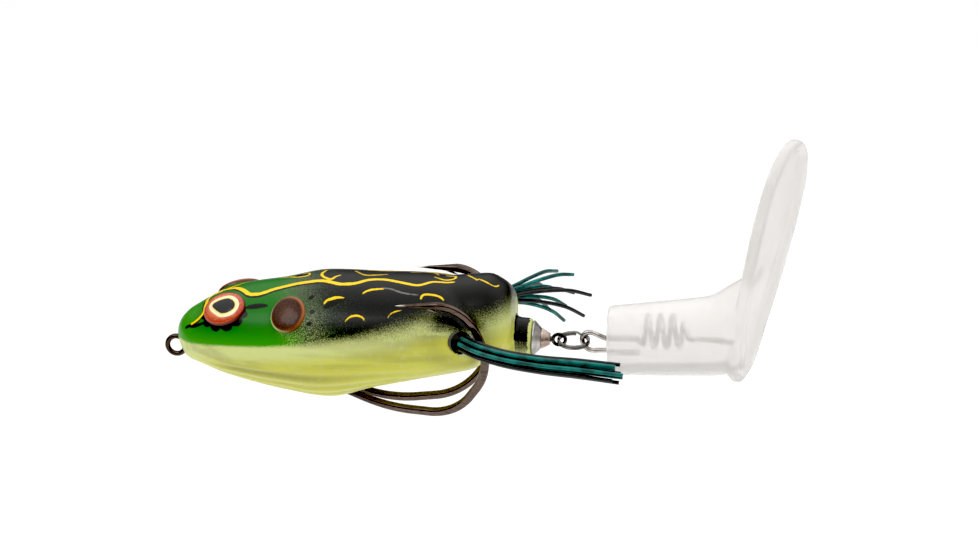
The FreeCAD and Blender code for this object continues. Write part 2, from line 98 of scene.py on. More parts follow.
class Body(Enum):
    """Rigid bodies that the pieces ride on."""
    LURE = "lure_body"
    SWIVEL = "swivel"
    RING = "ring"
    TAIL = "tail"
    LEFT_LEG = "left_leg"
    RIGHT_LEG = "right_leg"


# ------------------------------------------------------------------ geometry
def unit(v: Sequence[float]) -> Array:
    """The vector at length one."""
    v = np.asarray(v, float)
    return v / np.linalg.norm(v)


def turned(v: Array, axis: Array, degrees: float) -> Array:
    """The vector turned about an axis.

    Args:
        v: vector to turn.
        axis: unit axis.
        degrees: angle by the right hand rule.

    Returns:
        The turned vector.
    """
    a = math.radians(degrees)
    return v * math.cos(a) + np.cross(axis, v) * math.sin(a) + axis * np.dot(axis, v) * (1 - math.cos(a))


def pchip(x: Array, y: Array, at: Array) -> Array:
    """Smooth interpolation that keeps the rise and fall of the rows.

    Args:
        x: increasing places.
        y: value at each place.
        at: places wanted.

    Returns:
        The values at those places.
    """
    h = np.diff(x)
    d = np.diff(y) / h
    m = np.zeros_like(y)
    m[0], m[-1] = d[0], d[-1]
    for i in range(1, len(x) - 1):
        if d[i - 1] * d[i] > 0:
            a, b = 2 * h[i] + h[i - 1], h[i] + 2 * h[i - 1]
            m[i] = (a + b) / (a / d[i - 1] + b / d[i])
    i = np.clip(np.searchsorted(x, at) - 1, 0, len(h) - 1)
    t = (at - x[i]) / h[i]
    return ((2 * t**3 - 3 * t**2 + 1) * y[i] + (t**3 - 2 * t**2 + t) * h[i] * m[i]
            + (3 * t**2 - 2 * t**3) * y[i + 1] + (t**3 - t**2) * h[i] * m[i + 1])


def resampled(points: Array, step: float) -> Array:
    """The same line with points an even step apart."""
    points = np.asarray(points, float)
    along = np.concatenate([[0], np.cumsum(np.linalg.norm(np.diff(points, axis=0), axis=1))])
    count = max(2, int(round(along[-1] / step)) + 1)
    at = np.linspace(0, along[-1], count)
    return np.stack([np.interp(at, along, points[:, k]) for k in range(3)], 1)


def smooth_line(points: Sequence[Sequence[float]], step: float) -> Array:
    """Smooth line through the points, at an even step."""
    p = np.asarray(points, float)
    along = np.concatenate([[0], np.cumsum(np.linalg.norm(np.diff(p, axis=0), axis=1))])
    slope = np.gradient(p, along, axis=0)
    at = np.linspace(0, along[-1], max(8, int(along[-1] / step) * 3))
    i = np.clip(np.searchsorted(along, at) - 1, 0, len(along) - 2)
    h = (along[i + 1] - along[i])[:, None]
    t = ((at - along[i])[:, None]) / h
    line = ((2 * t**3 - 3 * t**2 + 1) * p[i] + (t**3 - 2 * t**2 + t) * h * slope[i]
            + (3 * t**2 - 2 * t**3) * p[i + 1] + (t**3 - t**2) * h * slope[i + 1])
    return resampled(line, step)


def rounded_line(corners: Sequence[Sequence[float]], limits: Sequence[float], step: float = 0.3) -> Array:
    """Straight runs joined by tangent arcs.

    Args:
        corners: corner points of the wire.
        limits: largest bend radius at each inner corner.
        step: spacing of the points returned.

    Returns:
        Points along the wire.
    """
    p = [np.asarray(c, float) for c in corners]
    out = [p[0]]
    for i in range(1, len(p) - 1):
        toward, away = unit(p[i - 1] - p[i]), unit(p[i + 1] - p[i])
        turn = math.pi - math.acos(float(np.clip(np.dot(toward, away), -1, 1)))
        before = (0.95 if i == 1 else 0.49) * np.linalg.norm(p[i - 1] - p[i])
        after = (0.95 if i == len(p) - 2 else 0.49) * np.linalg.norm(p[i + 1] - p[i])
        reach = min(before, after, limits[i - 1] * math.tan(turn / 2))
        radius = reach / math.tan(turn / 2)
        centre = p[i] + unit(toward + away) * (radius / math.cos(turn / 2))
        first, last = p[i] + toward * reach - centre, p[i] + away * reach - centre
        normal = unit(np.cross(first, last))
        for share in np.linspace(0, 1, 24):
            out.append(centre + turned(first, normal, math.degrees(turn) * share))
    out.append(p[-1])
    return resampled(np.array(out), step)


def line_frames(points: Array, side: Array) -> tuple[Array, Array, Array]:
    """Tangent, side and up directions along a line, carried without twist.

    Args:
        points: the line.
        side: side direction at the start.

    Returns:
        Three arrays of unit vectors.
    """
    tangent = np.gradient(points, axis=0)
    tangent /= np.linalg.norm(tangent, axis=1)[:, None]
    sides = np.zeros_like(points)
    current = np.asarray(side, float)
    for i, t in enumerate(tangent):
        current = unit(current - t * np.dot(current, t))
        sides[i] = current
    return tangent, sides, np.cross(tangent, sides)


def mesh_object(name: str, points: Array, faces: list, smooth: bool = True) -> bpy.types.Object:
    """New object with its mesh in place.

    Args:
        name: object name.
        points: corners in millimetres.
        faces: corner numbers of each face.
        smooth: smooth shading.

    Returns:
        The object, in the scene.
    """
    mesh = bpy.data.meshes.new(name)
    mesh.from_pydata((np.asarray(points, float) * MM).tolist(), [], faces)
    mesh.update()
    mesh.shade_smooth() if smooth else mesh.shade_flat()
    obj = bpy.data.objects.new(name, mesh)
    bpy.context.scene.collection.objects.link(obj)
    return obj


def ring_faces(rings: int, sides: int, offset: int = 0, first: bool = True, last: bool = True) -> list:
    """Faces of a tube of rings, with a cap at each end that is wanted."""
    faces = []
    for r in range(rings - 1):
        for s in range(sides):
            a, b = offset + r * sides + s, offset + r * sides + (s + 1) % sides
            faces.append((a, b, b + sides, a + sides))
    if first:
        faces.append(tuple(offset + s for s in reversed(range(sides))))
    if last:
        faces.append(tuple(offset + (rings - 1) * sides + s for s in range(sides)))
    return faces


def swept(points: Array, half_side: Array, half_up: Array, side: Array,
          sides: int = 20) -> tuple[Array, list]:
    """Closed tube along a line with its own half widths at each point.

    Args:
        points: the line.
        half_side: half width along the side direction.
        half_up: half width across it.
        side: side direction at the start.
        sides: corners round the section.

    Returns:
        Corners and faces.
    """
    _, across, up = line_frames(points, side)
    angles = np.linspace(0, 2 * math.pi, sides, endpoint=False)
    corners = (points[:, None, :] + across[:, None, :] * (half_side[:, None] * np.cos(angles))[:, :, None]
               + up[:, None, :] * (half_up[:, None] * np.sin(angles))[:, :, None])
    return corners.reshape(-1, 3), ring_faces(len(points), sides)


def turned_solid(profile: Sequence[tuple[float, float]], base: Array, axis: Array,
                 sides: int) -> tuple[Array, list]:
    """Solid turned about an axis, closed at both ends.

    Args:
        profile: distance along the axis and radius, in order.
        base: point at distance zero.
        axis: unit axis.
        sides: corners round the axis.

    Returns:
        Corners and faces.
    """
    side = unit(np.cross(axis, (0.0, 1.0, 0.0)) if abs(axis[1]) < 0.9 else np.cross(axis, (1.0, 0.0, 0.0)))
    up = np.cross(axis, side)
    angles = np.linspace(0, 2 * math.pi, sides, endpoint=False)
    rows = [base + axis * s + r * (np.outer(np.cos(angles), side) + np.outer(np.sin(angles), up))
            for s, r in profile]
    return np.concatenate(rows), ring_faces(len(rows), sides)


def joined(parts: Sequence[tuple[Array, list]]) -> tuple[Array, list]:
    """Several corner and face sets as one."""
    corners, faces, base = [], [], 0
    for p, f in parts:
        corners.append(p)
        faces += [tuple(base + i for i in face) for face in f]
        base += len(p)
    return np.concatenate(corners), faces


def applied(obj: bpy.types.Object) -> bpy.types.Object:
    """The object with its modifiers worked into its mesh."""
    bpy.context.view_layer.update()
    evaluated = obj.evaluated_get(bpy.context.evaluated_depsgraph_get())
    mesh = bpy.data.meshes.new_from_object(evaluated)
    obj.modifiers.clear()
    old, obj.data = obj.data, mesh
    mesh.name = obj.name
    bpy.data.meshes.remove(old)
    return obj


def remeshed(obj: bpy.types.Object, voxel: float, rounds: int) -> bpy.types.Object:
    """The object's shells merged into one even skin, then softened.

    Args:
        obj: object of closed shells.
        voxel: grid size in millimetres.
        rounds: smoothing rounds.

    Returns:
        The same object.
    """
    grid = obj.modifiers.new("skin", "REMESH")
    grid.mode, grid.voxel_size, grid.use_smooth_shade = "VOXEL", voxel * MM, True
    if rounds:
        soft = obj.modifiers.new("soft", "SMOOTH")
        soft.iterations, soft.factor = rounds, 0.5
    return applied(obj)


def cut_by(obj: bpy.types.Object, tools: Sequence[bpy.types.Object]) -> bpy.types.Object:
    """The object with the tools' solids taken out of it."""
    for tool in tools:
        cut = obj.modifiers.new("cut", "BOOLEAN")
        cut.operation, cut.object, cut.solver = "DIFFERENCE", tool, "EXACT"
    applied(obj)
    for tool in tools:
        bpy.data.objects.remove(tool)
    return obj


def corners_of(obj: bpy.types.Object) -> Array:
    """The object's corners in millimetres."""
    co = np.zeros(len(obj.data.vertices) * 3)
    obj.data.vertices.foreach_get("co", co)
    return co.reshape(-1, 3) / MM


def normals_of(obj: bpy.types.Object) -> Array:
    """The outward direction at each corner."""
    n = np.zeros(len(obj.data.vertices) * 3, np.float32)
    obj.data.vertex_normals.foreach_get("vector", n)
    return n.reshape(-1, 3).astype(float)


def move_corners(obj: bpy.types.Object, points: Array) -> None:
    """Puts the object's corners at new places, in millimetres."""
    obj.data.vertices.foreach_set("co", (points * MM).ravel())
    obj.data.update()


def set_values(obj: bpy.types.Object, name: str, values: Array) -> None:
    """Stores one number for each corner under a name that a finish reads."""
    layer = obj.data.attributes.new(name, "FLOAT", "POINT")
    layer.data.foreach_set("value", np.asarray(values, np.float32))


def smoothstep(low: float, high: float, x: Array) -> Array:
    """Zero below low, one above high and smooth between."""
    t = np.clip((x - low) / (high - low), 0, 1)
    return t * t * (3 - 2 * t)


# ------------------------------------------------------------------- finishes
class Pad:
    """Node pad of one material, with short words for the nodes it needs."""

    def __init__(self, name: str) -> None:
        """Starts a material with a single surface shader."""
        self.material = bpy.data.materials.new(name)
        self.material.use_nodes = True
        self.tree = self.material.node_tree
        self.tree.nodes.clear()
        out = self.tree.nodes.new("ShaderNodeOutputMaterial")
        self.shader = self.tree.nodes.new("ShaderNodeBsdfPrincipled")
        self.tree.links.new(self.shader.outputs[0], out.inputs[0])
        self.place = self.tree.nodes.new("ShaderNodeTexCoord").outputs["Object"]

    def set(self, **values) -> None:
        """Sets shader inputs, their spaces written as underscores; a socket is linked."""
        for name, value in values.items():
            target = self.shader.inputs[name.replace("_", " ")]
            if isinstance(value, bpy.types.NodeSocket):
                self.tree.links.new(value, target)
            else:
                is_colour = isinstance(value, tuple) and len(value) == 3
                target.default_value = (*value, 1.0) if is_colour else value

    def feed(self, target: Socket, value) -> None:
        """Links a socket to an input, or sets the input to a plain value."""
        if isinstance(value, bpy.types.NodeSocket):
            self.tree.links.new(value, target)
        else:
            target.default_value = (*value, 1.0) if isinstance(value, tuple) and len(value) == 3 else value

    def stored(self, name: str) -> Socket:
        """Number stored on the corners under a name."""
        node = self.tree.nodes.new("ShaderNodeAttribute")
        node.attribute_name = name
        return node.outputs["Fac"]

    def stretched(self, scale: tuple, location: tuple = (0.0, 0.0, 0.0),
                  turn: tuple = (0.0, 0.0, 0.0)) -> Socket:
        """Object place, moved, turned and scaled."""
        node = self.tree.nodes.new("ShaderNodeMapping")
        node.inputs["Location"].default_value = location
        node.inputs["Rotation"].default_value = turn
        node.inputs["Scale"].default_value = scale
        self.tree.links.new(self.place, node.inputs["Vector"])
        return node.outputs[0]

    def noise(self, scale: float, detail: float = 2.0, place: Optional[Socket] = None,
              rough: float = 0.5) -> Socket:
        """Fractal noise, about 0.2 to 0.8, at so many cells to the metre."""
        node = self.tree.nodes.new("ShaderNodeTexNoise")
        node.inputs["Scale"].default_value = scale
        node.inputs["Detail"].default_value = detail
        node.inputs["Roughness"].default_value = rough
        self.tree.links.new(place or self.place, node.inputs["Vector"])
        return node.outputs["Fac"]

    def math(self, operation: str, a, b=0.0, c=0.0) -> Socket:
        """One sum of two or three numbers."""
        node = self.tree.nodes.new("ShaderNodeMath")
        node.operation = operation
        for target, value in zip(node.inputs, (a, b, c)):
            self.feed(target, value)
        return node.outputs[0]

    def ease(self, value, low: float, high: float, first: float = 0.0, last: float = 1.0) -> Socket:
        """Value eased from first to last between two limits."""
        node = self.tree.nodes.new("ShaderNodeMapRange")
        node.interpolation_type = "SMOOTHSTEP"
        for name, number in (("Value", value), ("From Min", low), ("From Max", high),
                             ("To Min", first), ("To Max", last)):
            self.feed(node.inputs[name], number)
        return node.outputs[0]

    def mix(self, share, a, b, how: str = "MIX") -> Socket:
        """Two colours mixed by a share."""
        node = self.tree.nodes.new("ShaderNodeMix")
        node.data_type, node.blend_type = "RGBA", how
        node.clamp_factor = True
        self.feed(node.inputs[0], share)
        self.feed(node.inputs[6], a)
        self.feed(node.inputs[7], b)
        return node.outputs[2]

    def bump(self, height, strength: float, distance: float, under: Optional[Socket] = None) -> Socket:
        """Fine relief from a height, in metres."""
        node = self.tree.nodes.new("ShaderNodeBump")
        node.inputs["Strength"].default_value = strength
        node.inputs["Distance"].default_value = distance
        self.feed(node.inputs["Height"], height)
        if under is not None:
            self.tree.links.new(under, node.inputs["Normal"])
        return node.outputs[0]


@dataclass(frozen=True)
class PaintedSkin:
    """Sprayed and hand-painted soft skin under a clear coat, with painted shade in its grooves and leg holes
    and a painted highlight round the hole edges.
    """
    green: tuple = (0.003, 0.145, 0.002)
    lime: tuple = (0.045, 0.30, 0.004)
    grey_green: tuple = (0.055, 0.085, 0.040)
    black: tuple = (0.006, 0.006, 0.005)
    cream: tuple = (0.63, 0.68, 0.26)
    yellow_green: tuple = (0.60, 0.60, 0.10)
    shade: tuple = (0.20, 0.19, 0.085)
    stripe: tuple = (0.93, 0.62, 0.004)
    streak: tuple = (0.20, 0.19, 0.17)
    rim: tuple = (0.70, 0.72, 0.62)

    def material(self) -> bpy.types.Material:
        """Builds the finish."""
        pad = Pad("painted_skin")
        grain = pad.math("SUBTRACT", pad.noise(6200, 2, rough=0.7), 0.5)
        coarse = pad.math("SUBTRACT", pad.noise(1500, 2), 0.5)
        height = pad.stored("above_belly")
        dark = pad.stored("dark")
        # upper side, from green through sprayed speckle to black
        low_cheek = pad.ease(height, 0.4, 4.2, 1.0, 0.0)
        fresh = pad.mix(pad.math("MAXIMUM", low_cheek, pad.stored("front")), self.green, self.lime)
        fresh = pad.mix(pad.ease(grain, -0.12, 0.2, 0.0, 0.16), fresh, self.lime)
        dusted = pad.math("ADD", dark, pad.math("MULTIPLY", grain, 1.5))
        upper = pad.mix(pad.ease(dusted, 0.10, 0.50), fresh, self.grey_green)
        pale_dots = pad.math("MULTIPLY", pad.ease(dark, 0.05, 0.25), pad.ease(dark, 0.60, 0.97, 1.0, 0.0))
        pale_dots = pad.math("MULTIPLY", pale_dots, pad.ease(grain, -0.14, -0.02, 1.0, 0.0))
        pale_dots = pad.math("MULTIPLY", pale_dots, pad.ease(height, 0.5, 7.0, 0.75, 0.15))
        upper = pad.mix(pale_dots, upper, self.cream)
        deep = pad.math("ADD", dusted, pad.math("MULTIPLY", grain, 1.4))
        upper = pad.mix(pad.ease(deep, 0.50, 1.05), upper, self.black)
        # belly, cream under the edge and yellow-green below, with grey streaks, painted shade in the rib
        # grooves, along the throat groove and round the tuck by each leg socket, and a grey sprayed band
        # ahead of the sockets
        belly = pad.mix(pad.ease(height, -4.5, -1.2, 1.0, 0.0), self.cream, self.yellow_green)
        streaky = pad.noise(420, 3, pad.stretched((0.10, 1.0, 1.0)))
        belly = pad.mix(pad.ease(streaky, 0.50, 0.72, 0.0, 0.30), belly, self.shade)
        # painted shade: the stored shade darkens the rib grooves, the throat groove and the tuck round each
        # leg socket; its rear band is grey spray
        shade_and_spray = pad.math("MULTIPLY", pad.stored("shade"), pad.ease(grain, -0.25, 0.2, 0.55, 1.0))
        belly = pad.mix(shade_and_spray, belly, self.shade)
        belly = pad.mix(pad.ease(pad.noise(900, 2), 0.55, 0.75, 0.0, 0.12), belly, self.rim)
        edge = pad.math("DIVIDE", height, pad.stored("spray"))
        edge = pad.math("ADD", edge, pad.math("MULTIPLY", grain, 2.4))
        colour = pad.mix(pad.ease(edge, -0.8, 0.8), belly, upper)
        # painted marks
        wobble = pad.math("ADD", pad.math("MULTIPLY", coarse, 0.22), pad.math("MULTIPLY", grain, 0.10))
        marks = (("streak_mark", self.streak, 0.85, 0.10), ("black_mark", self.black, 1.0, 0.07),
                 ("yellow_mark", self.stripe, 1.0, 0.06))
        for name, tone, strength, soft in marks:
            inside = pad.ease(pad.math("ADD", pad.stored(name), wobble), -soft, soft, strength, 0.0)
            colour = pad.mix(inside, colour, tone)
        # painted highlight: a pale ring round the edge of each leg hole
        colour = pad.mix(pad.stored("bare"), colour, self.rim)
        # painted shade: the inside of each leg hole is coloured near black
        hollow = pad.stored("hollow")
        colour = pad.mix(hollow, colour, (0.010, 0.009, 0.009))
        relief = pad.bump(grain, 0.10, 0.00006)
        relief = pad.bump(coarse, 0.12, 0.00015, relief)
        paint_edge = pad.ease(pad.stored("yellow_mark"), -0.12, 0.12, 1.0, 0.0)
        relief = pad.bump(paint_edge, 0.35, 0.00006, relief)
        pad.set(Base_Color=colour, Roughness=pad.ease(grain, -0.3, 0.3, 0.30, 0.42), Specular_IOR_Level=0.26,
                Coat_Weight=0.12, Coat_Roughness=0.14, Subsurface_Weight=0.05, Normal=relief)
        pad.shader.inputs["Subsurface Radius"].default_value = (0.0012, 0.0012, 0.0006)
        return pad.material


@dataclass(frozen=True)
class HookSteel:
    """Black nickel plate with a warm bronze cast."""
    dark: tuple = (0.026, 0.020, 0.016)
    bright: tuple = (0.20, 0.155, 0.135)

    def material(self) -> bpy.types.Material:
        """Builds the finish."""
        pad = Pad("black_nickel_hook")
        cloudy = pad.noise(700, 3)
        drawn = pad.noise(2600, 3, pad.stretched((0.15, 1.0, 1.0)))
        tone = pad.mix(pad.ease(cloudy, 0.35, 0.7), self.dark, (0.065, 0.050, 0.042))
        # painted highlight: pinkish bright streaks along the wire, strongest on the forged bends and barbs
        highlight_streaks = pad.math("MULTIPLY", pad.stored("highlight_streaks"), pad.ease(drawn, 0.3, 0.7, 0.6, 1.0))
        tone = pad.mix(highlight_streaks, tone, self.bright)
        # painted highlight: near-white glint on each hook point, fainter on the barbs
        tone = pad.mix(pad.stored("bright_tip"), tone, (0.62, 0.56, 0.50))
        pad.set(Base_Color=tone, Metallic=1.0, Roughness=pad.ease(drawn, 0.3, 0.75, 0.10, 0.22),
                Normal=pad.bump(drawn, 0.12, 0.00004))
        return pad.material


@dataclass(frozen=True)
class Metal:
    """Plated or cast metal with fine marks of its making."""
    name: str
    dark: tuple
    bright: tuple
    rough: tuple = (0.18, 0.36)
    scale: float = 1800.0
    relief: float = 0.15
    along: tuple = (1.0, 1.0, 1.0)

    def material(self) -> bpy.types.Material:
        """Builds the finish."""
        pad = Pad(self.name)
        marks = pad.noise(self.scale, 4, pad.stretched(self.along))
        cloud = pad.noise(self.scale * 0.3, 2)
        tone = pad.mix(pad.ease(cloud, 0.35, 0.68), self.dark, self.bright)
        tone = pad.mix(pad.ease(marks, 0.45, 0.75, 0.0, 0.35), tone, self.bright)
        pad.set(Base_Color=tone, Metallic=1.0, Roughness=pad.ease(marks, 0.3, 0.7, *self.rough),
                Normal=pad.bump(marks, self.relief, 0.00005))
        return pad.material


@dataclass(frozen=True)
class EyeFinish:
    """Printed eye under a clear dome: red ring, yellow ring and black pupil."""
    red: tuple = (0.46, 0.055, 0.020)
    salmon: tuple = (0.68, 0.17, 0.075)
    yellow: tuple = (0.90, 0.68, 0.20)
    cream: tuple = (0.95, 0.86, 0.52)
    dark: tuple = (0.004, 0.003, 0.003)
    edge: tuple = (0.10, 0.018, 0.008)

    def material(self) -> bpy.types.Material:
        """Builds the finish."""
        pad = Pad("domed_eye")
        print_noise = pad.math("SUBTRACT", pad.noise(3800, 3, rough=0.6), 0.5)
        radial = pad.stored("across")
        ring = pad.mix(pad.ease(pad.math("ADD", radial, pad.math("MULTIPLY", print_noise, 0.5)), 0.55, 0.95),
                       self.salmon, self.red)
        ring = pad.mix(pad.ease(print_noise, 0.05, 0.28, 0.0, 0.55), ring, self.edge)
        ring = pad.mix(pad.ease(print_noise, -0.30, -0.08, 0.45, 0.0), ring, self.cream)
        from_pupil = pad.math("ADD", pad.stored("from_pupil"), pad.math("MULTIPLY", print_noise, 0.18))
        band = pad.mix(pad.ease(from_pupil, 0.05, 0.5), self.yellow, self.cream)
        colour = pad.mix(pad.ease(from_pupil, 0.60, 0.80), band, ring)
        colour = pad.mix(pad.ease(from_pupil, -0.06, 0.05, 1.0, 0.0), colour, self.dark)
        colour = pad.mix(pad.ease(radial, 0.945, 0.985), colour, self.edge)
        pad.set(Base_Color=colour, Roughness=0.32, Specular_IOR_Level=0.3, Coat_Weight=0.5,
                Coat_Roughness=0.04,
                Normal=pad.bump(print_noise, 0.06, 0.00005))
        return pad.material


@dataclass(frozen=True)
class EarFinish:
    """Painted ear disc: dark brown with a copper rim."""
    brown: tuple = (0.038, 0.011, 0.004)
    copper: tuple = (0.23, 0.075, 0.022)
    rim: tuple = (0.36, 0.11, 0.035)
    pale: tuple = (0.45, 0.62, 0.30)
    dark: tuple = (0.012, 0.006, 0.004)

    def material(self) -> bpy.types.Material:
        """Builds the finish."""
        pad = Pad("ear_disc")
        fleck = pad.math("SUBTRACT", pad.noise(5200, 2, rough=0.6), 0.5)
        radial = pad.stored("across")
        colour = pad.mix(pad.ease(radial, 0.15, 0.75), (0.060, 0.018, 0.006), self.brown)
        colour = pad.mix(pad.ease(fleck, 0.06, 0.2, 0.0, 0.75), colour, self.copper)
        colour = pad.mix(pad.ease(fleck, -0.22, -0.08, 0.8, 0.0), colour, self.dark)
        ring = pad.math("MULTIPLY", pad.ease(radial, 0.80, 0.93), pad.stored("rear_rim"))
        colour = pad.mix(ring, colour, self.rim)
        left = pad.math("MULTIPLY", pad.ease(radial, 0.90, 0.97), pad.stored("front_rim"))
        colour = pad.mix(left, colour, self.pale)
        pad.set(Base_Color=colour, Roughness=0.36, Specular_IOR_Level=0.25, Coat_Weight=0.25,
                Coat_Roughness=0.08,
                Normal=pad.bump(fleck, 0.10, 0.00005))
        return pad.material


@dataclass(frozen=True)
class StrandRubber:
    """Soft skirt rubber with a waxy sheen."""
    name: str
    tone: tuple
    deep: tuple

    def material(self) -> bpy.types.Material:
        """Builds the finish."""
        pad = Pad(self.name)
        cloud = pad.noise(380, 2)
        skin = pad.noise(5200, 3)
        colour = pad.mix(pad.ease(cloud, 0.38, 0.66), self.deep, self.tone)
        colour = pad.mix(pad.ease(skin, 0.55, 0.8, 0.0, 0.25), colour, self.deep)
        pad.set(Base_Color=colour, Roughness=pad.ease(skin, 0.3, 0.7, 0.30, 0.48), Specular_IOR_Level=0.5,
                Sheen_Weight=0.08, Normal=pad.bump(skin, 0.18, 0.00005))
        return pad.material


@dataclass(frozen=True)
class MilkyRubber:
    """Clear soft rubber with a milky haze, lit through by what is behind it."""
    tone: tuple = (0.965, 0.945, 0.925)

    def material(self) -> bpy.types.Material:
        """Builds the finish."""
        pad = Pad("milky_rubber")
        haze = pad.noise(160, 3)
        fine = pad.noise(2400, 3)
        colour = pad.mix(pad.ease(haze, 0.35, 0.7, 0.0, 1.0), self.tone, (0.94, 0.915, 0.89))
        pad.set(Base_Color=colour, Roughness=pad.ease(fine, 0.3, 0.7, 0.18, 0.27), IOR=1.22,
                Transmission_Weight=0.45, Specular_IOR_Level=0.45, Normal=pad.bump(fine, 0.06, 0.00005))
        return pad.material


# ------------------------------------------------------------ geometry nodes
class WireTree:
    """Node tree that sweeps a round wire along the edges of a mesh line."""

    def __init__(self) -> None:
        """Builds the tree once for every wire."""
        tree = bpy.data.node_groups.new("swept_wire", "GeometryNodeTree")
        face = tree.interface
        face.new_socket(name="Line", in_out="INPUT", socket_type="NodeSocketGeometry")
        self.radius = face.new_socket(name="Radius", in_out="INPUT", socket_type="NodeSocketFloat")
        self.sides = face.new_socket(name="Sides", in_out="INPUT", socket_type="NodeSocketInt")
        self.step = face.new_socket(name="Step", in_out="INPUT", socket_type="NodeSocketFloat")
        self.finish = face.new_socket(name="Finish", in_out="INPUT", socket_type="NodeSocketMaterial")
        face.new_socket(name="Wire", in_out="OUTPUT", socket_type="NodeSocketGeometry")
        nodes, links = tree.nodes, tree.links
        given, out = nodes.new("NodeGroupInput"), nodes.new("NodeGroupOutput")
        curve = nodes.new("GeometryNodeMeshToCurve")
        even = nodes.new("GeometryNodeResampleCurve")
        even.mode = "LENGTH"
        thick = nodes.new("GeometryNodeInputNamedAttribute")
        thick.data_type = "FLOAT"
        thick.inputs["Name"].default_value = "thick"
        circle = nodes.new("GeometryNodeCurvePrimitiveCircle")
        sweep = nodes.new("GeometryNodeCurveToMesh")
        sweep.inputs["Fill Caps"].default_value = True
        smooth = nodes.new("GeometryNodeSetShadeSmooth")
        real = nodes.new("GeometryNodeRealizeInstances")
        dress = nodes.new("GeometryNodeSetMaterial")
        links.new(given.outputs["Line"], curve.inputs["Mesh"])
        links.new(curve.outputs["Curve"], even.inputs["Curve"])
        links.new(given.outputs["Step"], even.inputs["Length"])
        links.new(given.outputs["Sides"], circle.inputs["Resolution"])
        links.new(given.outputs["Radius"], circle.inputs["Radius"])
        if "Scale" in sweep.inputs:
            links.new(even.outputs["Curve"], sweep.inputs["Curve"])
            links.new(thick.outputs["Attribute"], sweep.inputs["Scale"])
        else:
            width = nodes.new("GeometryNodeSetCurveRadius")
            links.new(even.outputs["Curve"], width.inputs["Curve"])
            links.new(thick.outputs["Attribute"], width.inputs["Radius"])
            links.new(width.outputs["Curve"], sweep.inputs["Curve"])
        links.new(circle.outputs["Curve"], sweep.inputs["Profile Curve"])
        links.new(sweep.outputs["Mesh"], smooth.inputs["Geometry"])
        links.new(smooth.outputs["Geometry"], real.inputs["Geometry"])
        links.new(real.outputs["Geometry"], dress.inputs["Geometry"])
        links.new(given.outputs["Finish"], dress.inputs["Material"])
        links.new(dress.outputs["Geometry"], out.inputs["Wire"])
        self.tree = tree

    def wire(self, name: str, points: Array, radius: float, finish: bpy.types.Material, sides: int = 16,
             step: float = 0.2, thick: Optional[Array] = None) -> bpy.types.Object:
        """A wire along a line.

        Args:
            name: object name.
            points: line in millimetres.
            radius: wire radius in millimetres.
            finish: material.
            sides: corners round the wire.
            step: spacing of the rings in millimetres.
            thick: share of the radius at each point.

        Returns:
            The wire as a plain mesh object.
        """
        mesh = bpy.data.meshes.new(name + "_line")
        count = len(points)
        mesh.from_pydata((points * MM).tolist(), [(i, i + 1) for i in range(count - 1)], [])
        layer = mesh.attributes.new("thick", "FLOAT", "POINT")
        layer.data.foreach_set("value", np.asarray(np.ones(count) if thick is None else thick, np.float32))
        obj = bpy.data.objects.new(name, mesh)
        bpy.context.scene.collection.objects.link(obj)
        run = obj.modifiers.new("wire", "NODES")
        run.node_group = self.tree
        run[self.radius.identifier] = radius * MM
        run[self.sides.identifier] = sides
        run[self.step.identifier] = step * MM
        run[self.finish.identifier] = finish
        return applied(obj)


def put(obj: bpy.types.Object, body: Body, nodes: Sequence[str],
        finish: Optional[bpy.types.Material] = None,
        detail: str = "") -> bpy.types.Object:
    """Hangs a finished piece on its body, hides the CAD nodes that it stands for and logs it.

    Args:
        obj: the piece.
        body: body it rides on.
        nodes: CAD nodes that it replaces.
        finish: material, where the piece has none yet.
        detail: words for the log.

    Returns:
        The piece.
    """
    if finish is not None:
        obj.data.materials.clear()
        obj.data.materials.append(finish)
    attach(obj, body.value)
    if nodes:
        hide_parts(*nodes)
    log.info("%s: %d faces on %s %s", obj.name, len(obj.data.polygons), body.value, detail)
    return obj


# ------------------------------------------------------------------ soft body
@dataclass
class Stroke:
    """One painted mark: places along the body and degrees round it."""
    line: list
    half_width: float
    taper: float = 0.6
    mirrored: bool = True


